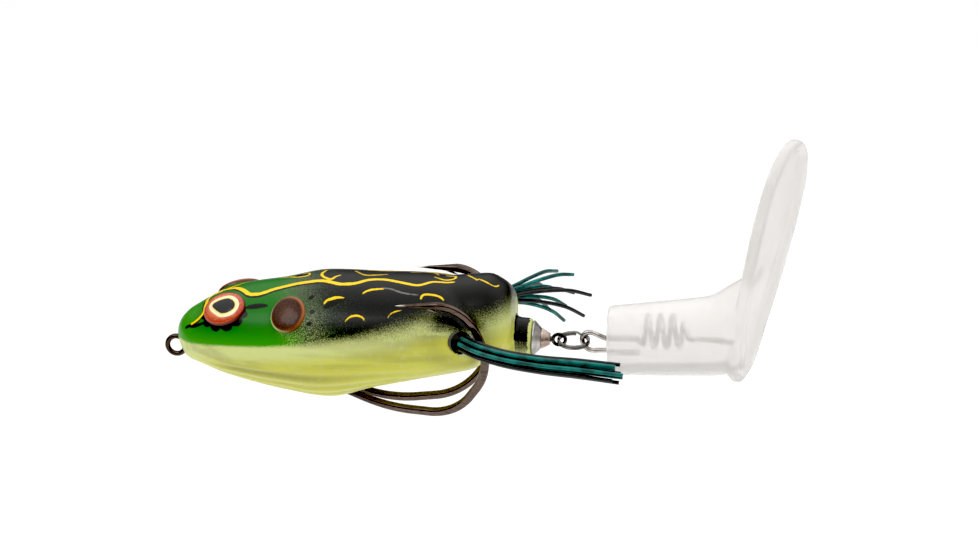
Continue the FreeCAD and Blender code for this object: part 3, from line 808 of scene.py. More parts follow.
@dataclass
class FrogBody:
    """The soft hollow body with its eyes, ears and leg sockets."""
    length: float = 62.2
    width: float = 25.8
    height: float = 23.0
    nose: float = 0.75
    drop: float = 9.0
    voxel: float = 0.27
    head_rows: tuple = (
        (0.000, 0.10, 0.560, 0.460, 0.505), (0.006, 0.19, 0.600, 0.430, 0.500),
        (0.030, 0.38, 0.678, 0.304, 0.487), (0.076, 0.56, 0.754, 0.261, 0.487),
        (0.140, 0.71, 0.843, 0.191, 0.491), (0.221, 0.82, 0.902, 0.126, 0.496),
        (0.317, 0.915, 0.935, 0.061, 0.500), (0.453, 0.99, 0.998, 0.000, 0.504),
        (0.598, 1.00, 0.983, 0.091, 0.513), (0.743, 0.977, 0.970, 0.170, 0.517),
        (0.839, 0.938, 0.926, 0.222, 0.509), (0.887, 0.853, 0.804, 0.252, 0.500),
        (0.910, 0.730, 0.678, 0.304, 0.491), (0.917, 0.540, 0.587, 0.370, 0.480))
    trunk_rows: tuple = (
        (0.727, 0.690, 0.939, 0.304, 0.609), (0.839, 0.674, 0.961, 0.313, 0.609),
        (0.928, 0.659, 0.976, 0.335, 0.609), (0.963, 0.628, 0.928, 0.357, 0.609),
        (0.984, 0.566, 0.883, 0.417, 0.609), (0.998, 0.457, 0.817, 0.504, 0.620))
    tube_radius: float = 3.65
    tube_length: float = 6.5
    socket_radius: float = 3.3
    hole_radius: float = 1.98
    eye_half: tuple = (4.3, 3.5)
    eye_dome: float = 1.3
    ear_half: tuple = (3.25, 3.5)
    eye_slant: float = -0.4
    eye_station: tuple = (0.1795, 0.498)
    eye_lift: float = -0.1
    eye_rim: float = 0.55
    eye_boss: tuple = (1.35, 3.6, 2.55)
    ear_station: tuple = (0.367, 0.5)
    ear_rise: float = 33.0
    ear_rim: float = 0.25
    ear_boss: tuple = (1.3, 3.6, 2.75)
    pupil_shift: tuple = (0.60, 0.02)
    pupil_front: float = 2.65
    pupil_rear: float = 2.15
    pupil_half: float = 1.62
    ear_dome: float = 0.8
    belly_edge: tuple = ((0.0, 2.6), (4.4, 2.4), (10.7, 2.9), (18.5, 3.3), (26.0, 4.0), (34.2, 5.0),
                         (42.2, 6.2), (46.0, 7.0), (49.2, 7.9), (52.0, 8.0), (55.9, 6.7), (59.4, 7.4),
                         (61.9, 8.3), (64.0, 8.4))
    yellow: list = field(default_factory=lambda: [
        Stroke([(4.6, 33), (5.4, 36), (6.7, 45), (6.9, 66), (7.4, 88), (8.8, 92), (10.6, 88), (12.0, 84),
                (13.9, 73), (15.8, 62), (17.2, 61), (20.1, 67), (23.2, 70), (26.4, 70), (29.0, 70),
                (32.6, 65), (35.0, 67), (37.4, 74), (39.8, 75), (42.5, 71), (44.2, 68), (46.4, 66),
                (48.7, 74), (52.4, 76)], 0.43, 0.45),
        Stroke([(30.0, 41), (30.3, 44), (31.2, 46.5), (32.4, 48), (33.6, 47.5)], 0.30, 0.1),
        Stroke([(36.6, 51), (36.9, 54), (37.8, 57), (39.0, 58.5), (40.4, 59)], 0.26, 0.1),
        Stroke([(34.1, 25), (34.6, 28), (35.6, 30), (36.7, 29.6), (37.4, 27.4), (37.6, 24.5)], 0.19, 0.2),
        Stroke([(41.7, 28), (42.0, 31), (42.9, 33.6), (44.2, 35)], 0.12, 0.2),
        Stroke([(47.2, 47), (47.3, 51), (49.2, 53), (50.8, 50), (51.1, 48)], 0.24),
        Stroke([(28.7, 97), (28.4, 81), (28.9, 77), (30.5, 73), (30.9, 77), (31.8, 82)], 0.26, 0.5, False),
        Stroke([(33.9, 96), (36.3, 84), (38.6, 86), (40.0, 88)], 0.18, 0.6, False),
        Stroke([(48.7, 86), (51.0, 81), (52.3, 83), (52.5, 88), (50.5, 95)], 0.22, 0.6, False),
        Stroke([(54.2, 93), (57.3, 74), (59.9, 65), (60.5, 71)], 0.16, 0.6, False),
        Stroke([(19.4, 100), (21.9, 94), (24.1, 85), (25.8, 85), (25.5, 93), (24.3, 95)], 0.20, 0.6, False),
        Stroke([(44.0, 99), (46.0, 104), (48.5, 101), (49.2, 94)], 0.18, 0.6, False),
        Stroke([(36.0, 103), (38.0, 108), (41.0, 106)], 0.18, 0.6, False)])
    black: list = field(default_factory=lambda: [
        Stroke([(3.4, 29), (5.1, 32), (6.7, 42), (6.7, 64), (7.2, 86), (8.8, 90), (10.6, 86), (12.0, 81),
                (13.9, 70), (15.8, 59), (17.2, 58), (20.1, 64), (23.2, 67.5), (26.4, 67.5), (29.0, 67.5),
                (32.6, 62.5), (35.0, 64.5), (37.4, 71.5), (39.8, 72.5), (42.5, 68.5), (44.2, 65.5),
                (46.4, 63.5), (48.7, 71.5), (52.4, 74)], 0.50, 0.6),
        Stroke([(30.4, 38.5), (31.3, 41), (32.4, 44), (33.5, 45.5)], 0.62),
        Stroke([(34.7, 25.5), (35.8, 27.5), (36.9, 26)], 0.85),
        Stroke([(27.5, 48), (27.6, 48.6)], 0.46, 1.0), Stroke([(28.0, 34), (28.1, 34.4)], 0.42, 1.0),
        Stroke([(27.6, 24), (27.7, 24.4)], 0.42, 1.0),
        Stroke([(4.1, 27.5), (5.4, 28.5), (6.6, 30), (7.8, 32)], 0.36, 0.1),
        Stroke([(15.2, 43.5), (16.6, 44), (18.0, 44.2), (19.6, 43.5)], 0.60, 0.1),
        Stroke([(21.0, 98), (23.0, 92), (24.8, 88), (24.9, 92), (23.6, 96)], 0.50, 0.5, False),
        Stroke([(29.2, 90), (29.4, 82), (30.6, 80), (31.4, 88)], 0.60, 0.5, False)])
    grey: list = field(default_factory=lambda: [Stroke([(39.4, 61), (41.6, 59), (43.5, 54.5),
                                                        (46.8, 51.5)], 0.20, 0.3)])

    def __post_init__(self) -> None:
        """Works out the places that the other sub-assemblies share."""
        self.leg_point = np.array([self.nose + 0.872 * self.length, -0.90 * self.width / 2,
                                   0.572 * self.height - self.drop])
        self.leg_axis = unit((0.73, -0.68, -0.03))
        droop = math.radians(3.5)
        self.tail_dir = np.array([math.cos(droop), 0.0, -math.sin(droop)])
        self.tail_up = np.array([math.sin(droop), 0.0, math.cos(droop)])
        self.tube_end = np.array([65.9, 0.0, 1.55])

    def on_tail(self, distance: float) -> Array:
        """Point on the drooping axis behind the body's tube."""
        return self.tube_end + self.tail_dir * distance

    def shell(self, rows: Sequence, step: float, sides: int = 128) -> tuple[Array, list]:
        """Closed loft of quarter-ellipse sections.

        Args:
            rows: length share, half width, top, bottom and middle of each section.
            step: spacing of the sections in millimetres.
            sides: corners round each section.

        Returns:
            Corners and faces.
        """
        table = np.array(rows)
        x = self.nose + table[:, 0] * self.length
        at = np.unique(np.concatenate([np.arange(x[0], x[-1], step), x]))
        half, top, low, mid = (pchip(x, table[:, k], at) for k in (1, 2, 3, 4))
        angles = np.linspace(0, 2 * math.pi, sides, endpoint=False)
        rise = np.where(np.sin(angles) > 0, (top - mid)[:, None], (mid - low)[:, None]) * self.height
        y = half[:, None] * self.width / 2 * np.cos(angles)
        z = (mid * self.height - self.drop)[:, None] + rise * np.sin(angles)
        corners = np.stack([np.repeat(at, sides), y.ravel(), z.ravel()], 1)
        return corners, ring_faces(len(at), sides)

    def middle(self, x: Array) -> Array:
        """Height of the widest line at each place along the body."""
        table = np.array(self.head_rows)
        trunk = np.array(self.trunk_rows)
        share = (np.asarray(x, float) - self.nose) / self.length
        fore = np.interp(share, table[:, 0], table[:, 4])
        centre = np.where(share < 0.9, fore, np.interp(share, trunk[:, 0], trunk[:, 4]))
        return centre * self.height - self.drop

    def ball(self, centre: Array, axes: tuple[Array, Array, Array],
             halves: Sequence[float]) -> tuple[Array, list]:
        """Stretched ball for a boss."""
        rows, sides = 24, 40
        polar = np.linspace(0.04, math.pi - 0.04, rows)
        angles = np.linspace(0, 2 * math.pi, sides, endpoint=False)
        local = np.stack([np.outer(np.sin(polar), np.cos(angles)), np.outer(np.sin(polar), np.sin(angles)),
                          np.repeat(-np.cos(polar)[:, None], sides, 1)], 2).reshape(-1, 3) * np.array(halves)
        return centre + local @ np.array(axes), ring_faces(rows, sides)

    def seat(self, x_share: float, height_share: float, outward: Array, lift: float,
             along: Array, tree: BVHTree) -> tuple[Array, Array, Array, Array]:
        """Place and directions of a disc on the left cheek.

        Args:
            x_share: length share of the ray's start.
            height_share: height share of the ray's start.
            outward: direction of the ray.
            lift: distance outward from the skin.
            along: wanted long direction.
            tree: skin to hit.

        Returns:
            Centre, long direction, short direction and outward direction.
        """
        start = Vector((self.nose + x_share * self.length, 0, height_share * self.height - self.drop))
        hit, normal, _, _ = tree.ray_cast(start, Vector(outward))
        out = unit(normal)
        out = out if np.dot(out, outward) > 0 else -out
        long = unit(np.asarray(along, float) - out * np.dot(out, along))
        return np.array(hit) + out * lift, long, np.cross(out, long), out

    def skin(self) -> bpy.types.Object:
        """Lofts, merges, hollows and paints the skin."""
        shells = [self.shell(self.head_rows, 0.5), self.shell(self.trunk_rows, 0.5)]
        tree = BVHTree.FromPolygons([Vector(p) for p in shells[0][0]], shells[0][1])
        rise = math.radians(self.ear_rise)
        self.eye_seat = self.seat(*self.eye_station, unit((-0.08, -0.7071, 0.7071)), self.eye_lift,
                                  (1, 0, self.eye_slant), tree)
        self.ear_seat = self.seat(*self.ear_station, unit((0, -math.cos(rise), math.sin(rise))), 0.0,
                                  (1, 0, 0), tree)
        for seat, half, (margin, depth, sink) in ((self.eye_seat, self.eye_half, self.eye_boss),
                                                  (self.ear_seat, self.ear_half, self.ear_boss)):
            centre, long, short, out = seat
            halves = (half[0] + margin, half[1] + margin, depth)
            boss, boss_faces = self.ball(centre - out * sink, (long, short, out), halves)
            shells.append((boss, boss_faces))
            flip = boss * np.array([1, -1, 1])
            shells.append((flip, [tuple(reversed(f)) for f in boss_faces]))
        tube = [(-self.tube_length, 2.2), (-self.tube_length + 0.4, self.tube_radius),
                (-0.25, self.tube_radius),
                (0.0, self.tube_radius - 0.22)]
        shells.append(turned_solid(tube, self.tube_end, self.tail_dir, 64))
        points, faces = joined(shells)
        obj = mesh_object("frog_skin", points, faces)
        self.fix_normals(obj)
        remeshed(obj, 0.42, 10)
        tools = []
        for side in Side:
            flip = np.array([1, -side.value, 1])
            for radius, start, reach, name in ((self.socket_radius, 0.0, 7.0, "scoop"),
                                               (self.hole_radius - 0.15, -4.0, 7.0, "hole")):
                tool, tool_faces = turned_solid([(start, radius), (reach, radius)], self.leg_point * flip,
                                                self.leg_axis * flip, 48)
                cutter = mesh_object(name, tool, tool_faces)
                self.fix_normals(cutter)
                tools.append(cutter)
        cut_by(obj, tools)
        remeshed(obj, self.voxel, 4)
        self.rib(obj)
        self.paint(obj)
        return obj

    @staticmethod
    def fix_normals(obj: bpy.types.Object) -> None:
        """Turns every closed shell of the mesh to face outward."""
        work = bmesh.new()
        work.from_mesh(obj.data)
        bmesh.ops.recalc_face_normals(work, faces=work.faces)
        work.to_mesh(obj.data)
        work.free()

    def rib_depth(self, p: Array) -> Array:
        """Depth share of the soft lengthwise belly ribs at each corner."""
        angle = np.degrees(np.arctan2(p[:, 2] - self.middle(p[:, 0]), np.abs(p[:, 1])))
        window = smoothstep(5, 14, p[:, 0]) * (1 - smoothstep(38, 50, p[:, 0]))
        window *= smoothstep(-80, -66, angle) * (1 - smoothstep(-16, -8, angle))
        return window * (0.5 + 0.5 * np.cos(np.radians(angle + 24) * 360 / 13.5))

    def rib(self, obj: bpy.types.Object) -> None:
        """Presses soft lengthwise ribs into the belly."""
        p = corners_of(obj)
        move_corners(obj, p - normals_of(obj) * (0.20 * self.rib_depth(p))[:, None])

    def on_skin(self, stroke: Stroke, side: int, tree: BVHTree) -> Array:
        """A stroke's line laid on the skin."""
        places = np.array(stroke.line, float)
        flat = np.column_stack([places[:, 0], places[:, 1] * 0.2, np.zeros(len(places))])
        fine = smooth_line(flat, 0.3) if len(flat) > 2 else resampled(flat, 0.2)
        out = []
        for x, fifth, _ in fine:
            angle = math.radians(fifth / 0.2)
            start = Vector((x, 0, float(self.middle(x))))
            hit = tree.ray_cast(start, Vector((0, side * math.cos(angle), math.sin(angle))))[0]
            if hit is not None:
                out.append(hit)
        return np.array(out)

    def distance(self, strokes: Sequence[Stroke], points: Array, tree: BVHTree) -> Array:
        """Distance of each corner from the nearest stroke's edge, negative inside it."""
        best = np.full(len(points), 9.0)
        for stroke in strokes:
            for side in ((-1, 1) if stroke.mirrored else (-1,)):
                line = self.on_skin(stroke, side, tree)
                share = np.linspace(0, 1, len(line))
                wide = stroke.half_width * (stroke.taper + (1 - stroke.taper) * np.sin(np.pi * share) ** 0.6)
                near = np.where(np.all((points > line.min(0) - 2.0) & (points < line.max(0) + 2.0),
                                       axis=1))[0]
                p = points[near]
                for i in range(len(line) - 1):
                    run = line[i + 1] - line[i]
                    t = np.clip((p - line[i]) @ run / max(run @ run, 1e-9), 0, 1)
                    breadth = wide[i] * (1 - t) + wide[i + 1] * t
                    gap = np.linalg.norm(p - line[i] - t[:, None] * run, axis=1) - breadth
                    best[near] = np.minimum(best[near], gap)
        return best

    def scallop(self, p: Array) -> Array:
        """Distance outside the scalloped black band under the left eye."""
        centre, long, short, out = self.eye_seat
        q = p - centre
        u, v = q @ long, q @ short
        v = v if short[2] > 0 else -v
        turn = np.degrees(np.arctan2(v / self.eye_half[1], u / self.eye_half[0]))
        rim = (np.hypot(u / self.eye_half[0], v / self.eye_half[1]) - 1) * 3.8
        turn = np.where(turn > 90, turn - 360, turn)
        bumps = np.abs(np.sin(np.radians((turn + 172) * 180 / 30))) ** 0.7
        band = (0.30 + 0.62 * bumps) * smoothstep(-178, -150, turn) * (1 - smoothstep(-14, 14, turn))
        away = np.where(q @ out > -3.0, 0.0, 9.0)
        return rim - band + np.where((turn < -180) | (turn > 16), 9.0, 0.0) + away

    def paint(self, obj: bpy.types.Object) -> None:
        """Stores what the painted finish reads at each corner."""
        p = corners_of(obj)
        mesh_faces = [tuple(f.vertices) for f in obj.data.polygons]
        tree = BVHTree.FromPolygons([Vector(v) for v in p], mesh_faces)
        x, y, z = p.T
        edge = np.array(self.belly_edge)
        above = z - np.interp(x, edge[:, 0], edge[:, 1])
        above = above - 1.2 * smoothstep(9.0, 12.5, np.abs(y)) * smoothstep(44, 52, x)
        spray = 0.42 + 0.75 * smoothstep(18, 34, x) + 1.6 * smoothstep(34, 47, x)
        # leg sockets: black above the middle of the hole, yellow below it
        q = np.column_stack([x, -np.abs(y), z]) - self.leg_point
        along = q @ self.leg_axis
        off = q - along[:, None] * self.leg_axis
        radius = np.linalg.norm(off, axis=1)
        in_socket = (1 - smoothstep(3.2, 3.7, radius)) * smoothstep(-0.8, -0.3, along)
        above = np.where(in_socket > 0.5, off[:, 2] - 0.2, above)
        tongue = (1 - smoothstep(3.4, 6.0, radius)) * smoothstep(0.6, 2.4, off[:, 2]) * (along < 3)
        above = above + 3.0 * tongue * (1 - in_socket)
        # drooping tube: black patch over yellow, with a bare yellow end
        r = p - self.tube_end
        back = r @ self.tail_dir
        on_tube = (x > 62.9) & (np.linalg.norm(r - back[:, None] * self.tail_dir, axis=1) < 4.2)
        above = np.where(on_tube, np.where(back > -0.62, -2.0, r @ self.tail_up + 1.6), above)
        dark = np.clip((x - 19.0) / 19.0, 0, 1) + 0.35 * smoothstep(24, 34, x)
        dark = dark + 0.25 * smoothstep(10, 13, z) * smoothstep(20, 27, x)
        dark = dark - 0.10 * (1 - smoothstep(0.5, 3.0, above)) * (1 - smoothstep(30, 40, x))
        # painted shade: grey darkening in the rib grooves, along the throat groove and round the tuck under
        # each leg socket, plus a grey sprayed band ahead of the sockets
        ribs = self.rib_depth(p)
        angle = np.degrees(np.arctan2(z - self.middle(x), np.abs(y)))
        main = np.exp(-((angle + 25 + 0.10 * (x - 10)) / 5.0) ** 2) * smoothstep(6, 14, x)
        main = main * (1 - smoothstep(24, 40, x))
        rear = smoothstep(30, 46, x) * (1 - smoothstep(53, 57, x)) * smoothstep(2.4, 6.0, above + 8)
        rear = rear * (1 - smoothstep(-2.5, -0.2, above)) * smoothstep(-16, 4, angle)
        socket_tuck_shade = np.exp(-((radius - 4.2) / 1.6) ** 2) * (off[:, 2] < 1.5) * 0.35
        shade = np.clip(0.22 * ribs + 0.50 * main + 0.40 * rear + socket_tuck_shade * (1 - in_socket), 0, 0.8)
        set_values(obj, "above_belly", above)
        set_values(obj, "spray", spray)
        set_values(obj, "dark", dark)
        set_values(obj, "front", (1 - smoothstep(3.0, 9.0, x)) * 0.8)
        set_values(obj, "shade", shade * (1 - on_tube))
        set_values(obj, "yellow_mark", self.distance(self.yellow, p, tree))
        black = self.distance(self.black, p, tree)
        for side in Side:
            black = np.minimum(black, self.scallop(p * np.array([1, -side.value, 1])))
        set_values(obj, "black_mark", black)
        set_values(obj, "streak_mark", self.distance(self.grey, p, tree))
        # painted shade: marks the inside of each leg hole, which the finish colours near black
        hole = (radius < self.hole_radius + 0.05) & (along < -0.25) & (along > -5)
        set_values(obj, "hollow", hole.astype(float))
        # painted highlight: pale ring at the edge of each leg hole
        bare = (radius > self.hole_radius - 0.1) & (radius < self.hole_radius + 0.35) & (np.abs(along) < 0.5)
        set_values(obj, "bare", bare * 0.55)

    def disc(self, name: str, seat: tuple, halves: tuple, dome: float, side: Side,
             rim: float) -> bpy.types.Object:
        """Domed disc on one cheek, with its places across the disc stored.

        Args:
            name: object name.
            seat: centre and directions on the left cheek.
            halves: half length and half height.
            dome: rise of the dome.
            side: cheek it is on.
            rim: height of the straight edge under the dome.

        Returns:
            The disc.
        """
        centre, long, short, out = seat
        sides, rows = 96, 36
        angles = np.linspace(0, 2 * math.pi, sides, endpoint=False)
        share = np.concatenate([[0.97, 1.0], np.cos(np.linspace(0, math.pi / 2 - 0.02, rows))])
        high = np.concatenate([[-rim - 0.3, -rim], dome * np.sin(np.linspace(0, math.pi / 2 - 0.02, rows))])
        u = share[:, None] * halves[0] * np.cos(angles)
        v = share[:, None] * halves[1] * np.sin(angles)
        h = np.repeat(high[:, None], sides, 1)
        p = centre + u.reshape(-1, 1) * long + v.reshape(-1, 1) * short + h.reshape(-1, 1) * out
        faces = ring_faces(len(share), sides)
        if side is Side.RIGHT:
            p = p * np.array([1, -1, 1])
        obj = mesh_object(name, p, faces)
        self.fix_normals(obj)
        set_values(obj, "across", np.repeat(share, sides))
        set_values(obj, "long_place", u.ravel())
        set_values(obj, "short_place", v.ravel())
        return obj

    def build(self) -> None:
        """Builds and dresses the soft body, its eyes and ear discs."""
        put(self.skin(), Body.LURE, ["body_shell"], PaintedSkin().material())
        eye_finish, ear_finish = EyeFinish().material(), EarFinish().material()
        for side in Side:
            eye = self.disc(side.word + "_domed_eye", self.eye_seat, self.eye_half, self.eye_dome, side,
                            self.eye_rim)
            u, v = self.places(eye)
            set_values(eye, "from_pupil", self.pupil(u - self.pupil_shift[0], v - self.pupil_shift[1]))
            put(eye, Body.LURE, [side.word + "_eye"], eye_finish)
            ear = self.disc(side.word + "_domed_ear", self.ear_seat, self.ear_half,
                            self.ear_dome, side, self.ear_rim)
            u, v = self.places(ear)
            turn = np.arctan2(v, u)
            set_values(ear, "rear_rim", 0.35 + 0.65 * np.clip(np.cos(turn - 0.5), 0, 1))
            set_values(ear, "front_rim", np.clip(-np.cos(turn - 0.35), 0, 1) ** 1.5)
            put(ear, Body.LURE, [side.word + "_ear_disc"], ear_finish)

    def pupil(self, u: Array, v: Array) -> Array:
        """Distance outside a pupil that is pointed forward and round behind."""
        def tall(u: Array) -> Array:
            share = u / np.where(u < 0, self.pupil_front, self.pupil_rear)
            top = self.pupil_half * np.sqrt(np.clip(1 - np.clip(share, -1, 1) ** 2, 0, 1))
            return np.where(u < 0, top * np.clip(1 + share * 0.42, 0, 1), top)

        half = (self.pupil_front + self.pupil_rear) / 2
        around = np.cos(np.linspace(0, math.pi, 90)) * half + (self.pupil_rear - half)
        top = tall(around)
        rim = np.vstack([np.column_stack([around, top]), np.column_stack([around, -top])])
        away = np.sqrt(((np.column_stack([u, v])[:, None] - rim[None]) ** 2).sum(2).min(1))
        return np.where(np.abs(v) < tall(u), -away, away)

    @staticmethod
    def places(obj: bpy.types.Object) -> tuple[Array, Array]:
        """Stored places across a disc, in millimetres."""
        out = []
        for name in ("long_place", "short_place"):
            values = np.zeros(len(obj.data.vertices), np.float32)
            obj.data.attributes[name].data.foreach_get("value", values)
            out.append(values.astype(float))
        return out[0], out[1]


# ----------------------------------------------------------------------- hook
@dataclass
class DoubleHook:
    """Forged double hook with its line-tie eye."""
    wire: float = 1.5
    eye_wire: float = 0.95
    eye_hole: float = 2.4
    point_length: float = 7.5
    corners: tuple = ((1.925, -0.78, 0.0), (7.25, -0.78, -0.5), (26.56, -0.98, -5.9), (39.02, -2.32, -10.9),
                      (52.17, -5.93, -11.0), (60.0, -10.32, -0.5), (55.2, -12.0, 11.1),
                      (43.34, -12.38, 11.3))
    limits: tuple = (20.0, 40.0, 24.0, 11.0, 11.0, 7.7)

    def hook(self) -> tuple[Array, list, Array, Array]:
        """One hook on the left side with its painted highlight streaks and point highlight."""
        line = rounded_line(self.corners, self.limits, 0.3)
        length = 0.3 * (len(line) - 1)
        along = np.linspace(0, length, len(line))
        left = length - along
        half = self.wire / 2
        taper = np.clip(left / self.point_length, 0.02, 1) ** 0.8
        forged = smoothstep(34, 42, along) * smoothstep(self.point_length - 1, self.point_length + 3, left)
        swell = 1 + 0.10 * np.exp(-((left - self.point_length - 0.4) / 1.5) ** 2)
        across = half * taper * (1 - 0.13 * forged)
        within = half * taper * (1 + 0.10 * forged) * swell
        p, f = swept(line, across, within, np.array([0.0, -1.0, 0.0]), 24)
        # painted highlight: streak strength, strongest on the forged bend
        highlight_streaks = np.repeat(0.25 + 0.55 * forged, 24)
        # painted highlight: glint strength on the last part of the point
        tip = np.repeat(1 - smoothstep(0.3, 2.2, left), 24)
        direction = unit(line[-1] - line[-2])
        root = line[-1] - direction * (self.point_length - 0.9)
        down = np.array([0.0, 0.0, -1.0])
        spike = np.array([root + direction * 1.2 + down * 0.10, root + direction * 0.4 + down * 0.62,
                          root - direction * 0.35 + down * 1.05, root - direction * 0.95 + down * 1.22])
        b, bf = swept(spike, np.array([0.40, 0.34, 0.2, 0.04]), np.array([0.55, 0.34, 0.16, 0.03]),
                      np.array([0.0, -1.0, 0.0]), 12)
        points, faces = joined([(p, f), (b, bf)])
        rest = np.full(len(b), 0.6)
        return points, faces, np.concatenate([highlight_streaks, rest]), np.concatenate([tip, rest * 0.3])

    def build(self) -> None:
        """Builds both hooks and their eye as one piece."""
        points, faces, highlight_streaks, tip = self.hook()
        flip = points * np.array([1, -1, 1])
        middle = (self.eye_hole + self.eye_wire) / 2
        angles = np.linspace(0, 2 * math.pi, 65)[:-1]
        ring = np.stack([middle * np.cos(angles), 0 * angles, middle * np.sin(angles)], 1)
        section = np.linspace(0, 2 * math.pi, 20, endpoint=False)
        half = self.eye_wire / 2
        outward = ring / middle
        eye = (ring[:, None, :] + outward[:, None, :] * (half * np.cos(section))[None, :, None]
               + np.array([0.0, 1.0, 0.0]) * (half * 1.05 * np.sin(section))[None, :, None]).reshape(-1, 3)
        eye_faces = [(r * 20 + s, r * 20 + (s + 1) % 20, ((r + 1) % 64) * 20 + (s + 1) % 20,
                      ((r + 1) % 64) * 20 + s)
                     for r in range(64) for s in range(20)]
        neck = turned_solid([(0.0, half * 0.8), (0.15, half), (1.85, half), (2.0, half * 0.8)],
                            np.array([middle + 0.3, -1.0, 0.0]), np.array([0.0, 1.0, 0.0]), 24)
        p, f = joined([(points, faces), (flip, [tuple(reversed(x)) for x in faces]), (eye, eye_faces), neck])
        obj = mesh_object("forged_double_hook", p, f)
        FrogBody.fix_normals(obj)
        plain = np.zeros(len(eye) + len(neck[0]))
        set_values(obj, "highlight_streaks", np.concatenate([highlight_streaks, highlight_streaks, plain + 0.3]))
        set_values(obj, "bright_tip", np.concatenate([tip, tip, plain]))
        put(obj, Body.LURE, ["double_hook"], HookSteel().material())


# ----------------------------------------------------------------------- legs
@dataclass
class StrandLeg:
    """Bundle of soft strands in a sleeve."""
    body: FrogBody
    side: Side
    wires: WireTree
    teal: bpy.types.Material
    black: bpy.types.Material
    sleeve: bpy.types.Material
    line: tuple
    trims: tuple
    black_strands: tuple
    diameter: float = 0.76
    proud: float = 0.9
    lip: float = -2.1

    def frame(self) -> tuple[Array, Array]:
        """Mouth of the sleeve and its axis on this side."""
        flip = np.array([1, -self.side.value, 1])
        return (self.body.leg_point + self.body.leg_axis * self.proud) * flip, self.body.leg_axis * flip

    def strand(self, index: int) -> Array:
        """Middle line of one strand, from inside the sleeve to its cut end."""
        inner = 0.5 * self.diameter / math.sin(math.radians(60)) + 0.03
        outer = inner + self.diameter + 0.03
        radius, degrees = (inner, 30 + 120 * index) if index < 3 else (outer, 12 + 360 * (index - 3) / 7)
        mouth, axis = self.frame()
        sign = self.side.value
        spin = math.radians(degrees) if sign < 0 else math.pi - math.radians(degrees)
        points = []
        for place, (back, out, down, spread) in enumerate(self.line):
            centre = mouth + np.array([back, sign * out, down]) if place else mouth - axis * 0.6
            ahead, behind = self.line[min(place + 1, len(self.line) - 1)], self.line[max(place - 1, 0)]
            run = np.array([ahead[0] - behind[0], sign * (ahead[1] - behind[1]), 0.0])
            across = unit(np.cross((0, 0, 1), run if place > 1 else axis))
            points.append(centre + across * (radius * spread * math.cos(spin))
                          + np.array([0, 0, 1]) * (radius * spread * math.sin(spin)))
        points[-1] = points[-1] + unit(points[-1] - points[-2]) * self.trims[index]
        return smooth_line(points, 0.35)

    def build(self, body: Body) -> None:
        """Builds each strand and the sleeve."""
        for index in range(10):
            name = "%s_leg_strand_%02d" % (self.side.word, index + 1)
            dark = index + 1 in self.black_strands
            line = self.strand(index)
            thick = 1 - 0.10 * smoothstep(0.75, 1.0, np.linspace(0, 1, len(line)))
            piece = self.wires.wire(name + "_rubber", line, self.diameter / 2,
                                    self.black if dark else self.teal,
                                    10, 0.45, thick)
            put(piece, body, [name])
        mouth, axis = self.frame()
        outer, inner = self.body.hole_radius, self.body.hole_radius - 0.25
        lip = self.lip
        profile = [(-5.0, outer - 0.1), (-4.9, outer), (lip - 0.15, outer), (lip - 0.03, outer - 0.05),
                   (lip, outer - 0.12), (lip - 0.05, inner + 0.03), (lip - 0.2, inner), (-4.0, inner),
                   (-4.0, 0.2)]
        sleeve = mesh_object(self.side.word + "_sleeve_rubber", *turned_solid(profile, mouth, axis, 64))
        FrogBody.fix_normals(sleeve)
        put(sleeve, Body.LURE, [self.side.word + "_leg_sleeve"], self.sleeve)


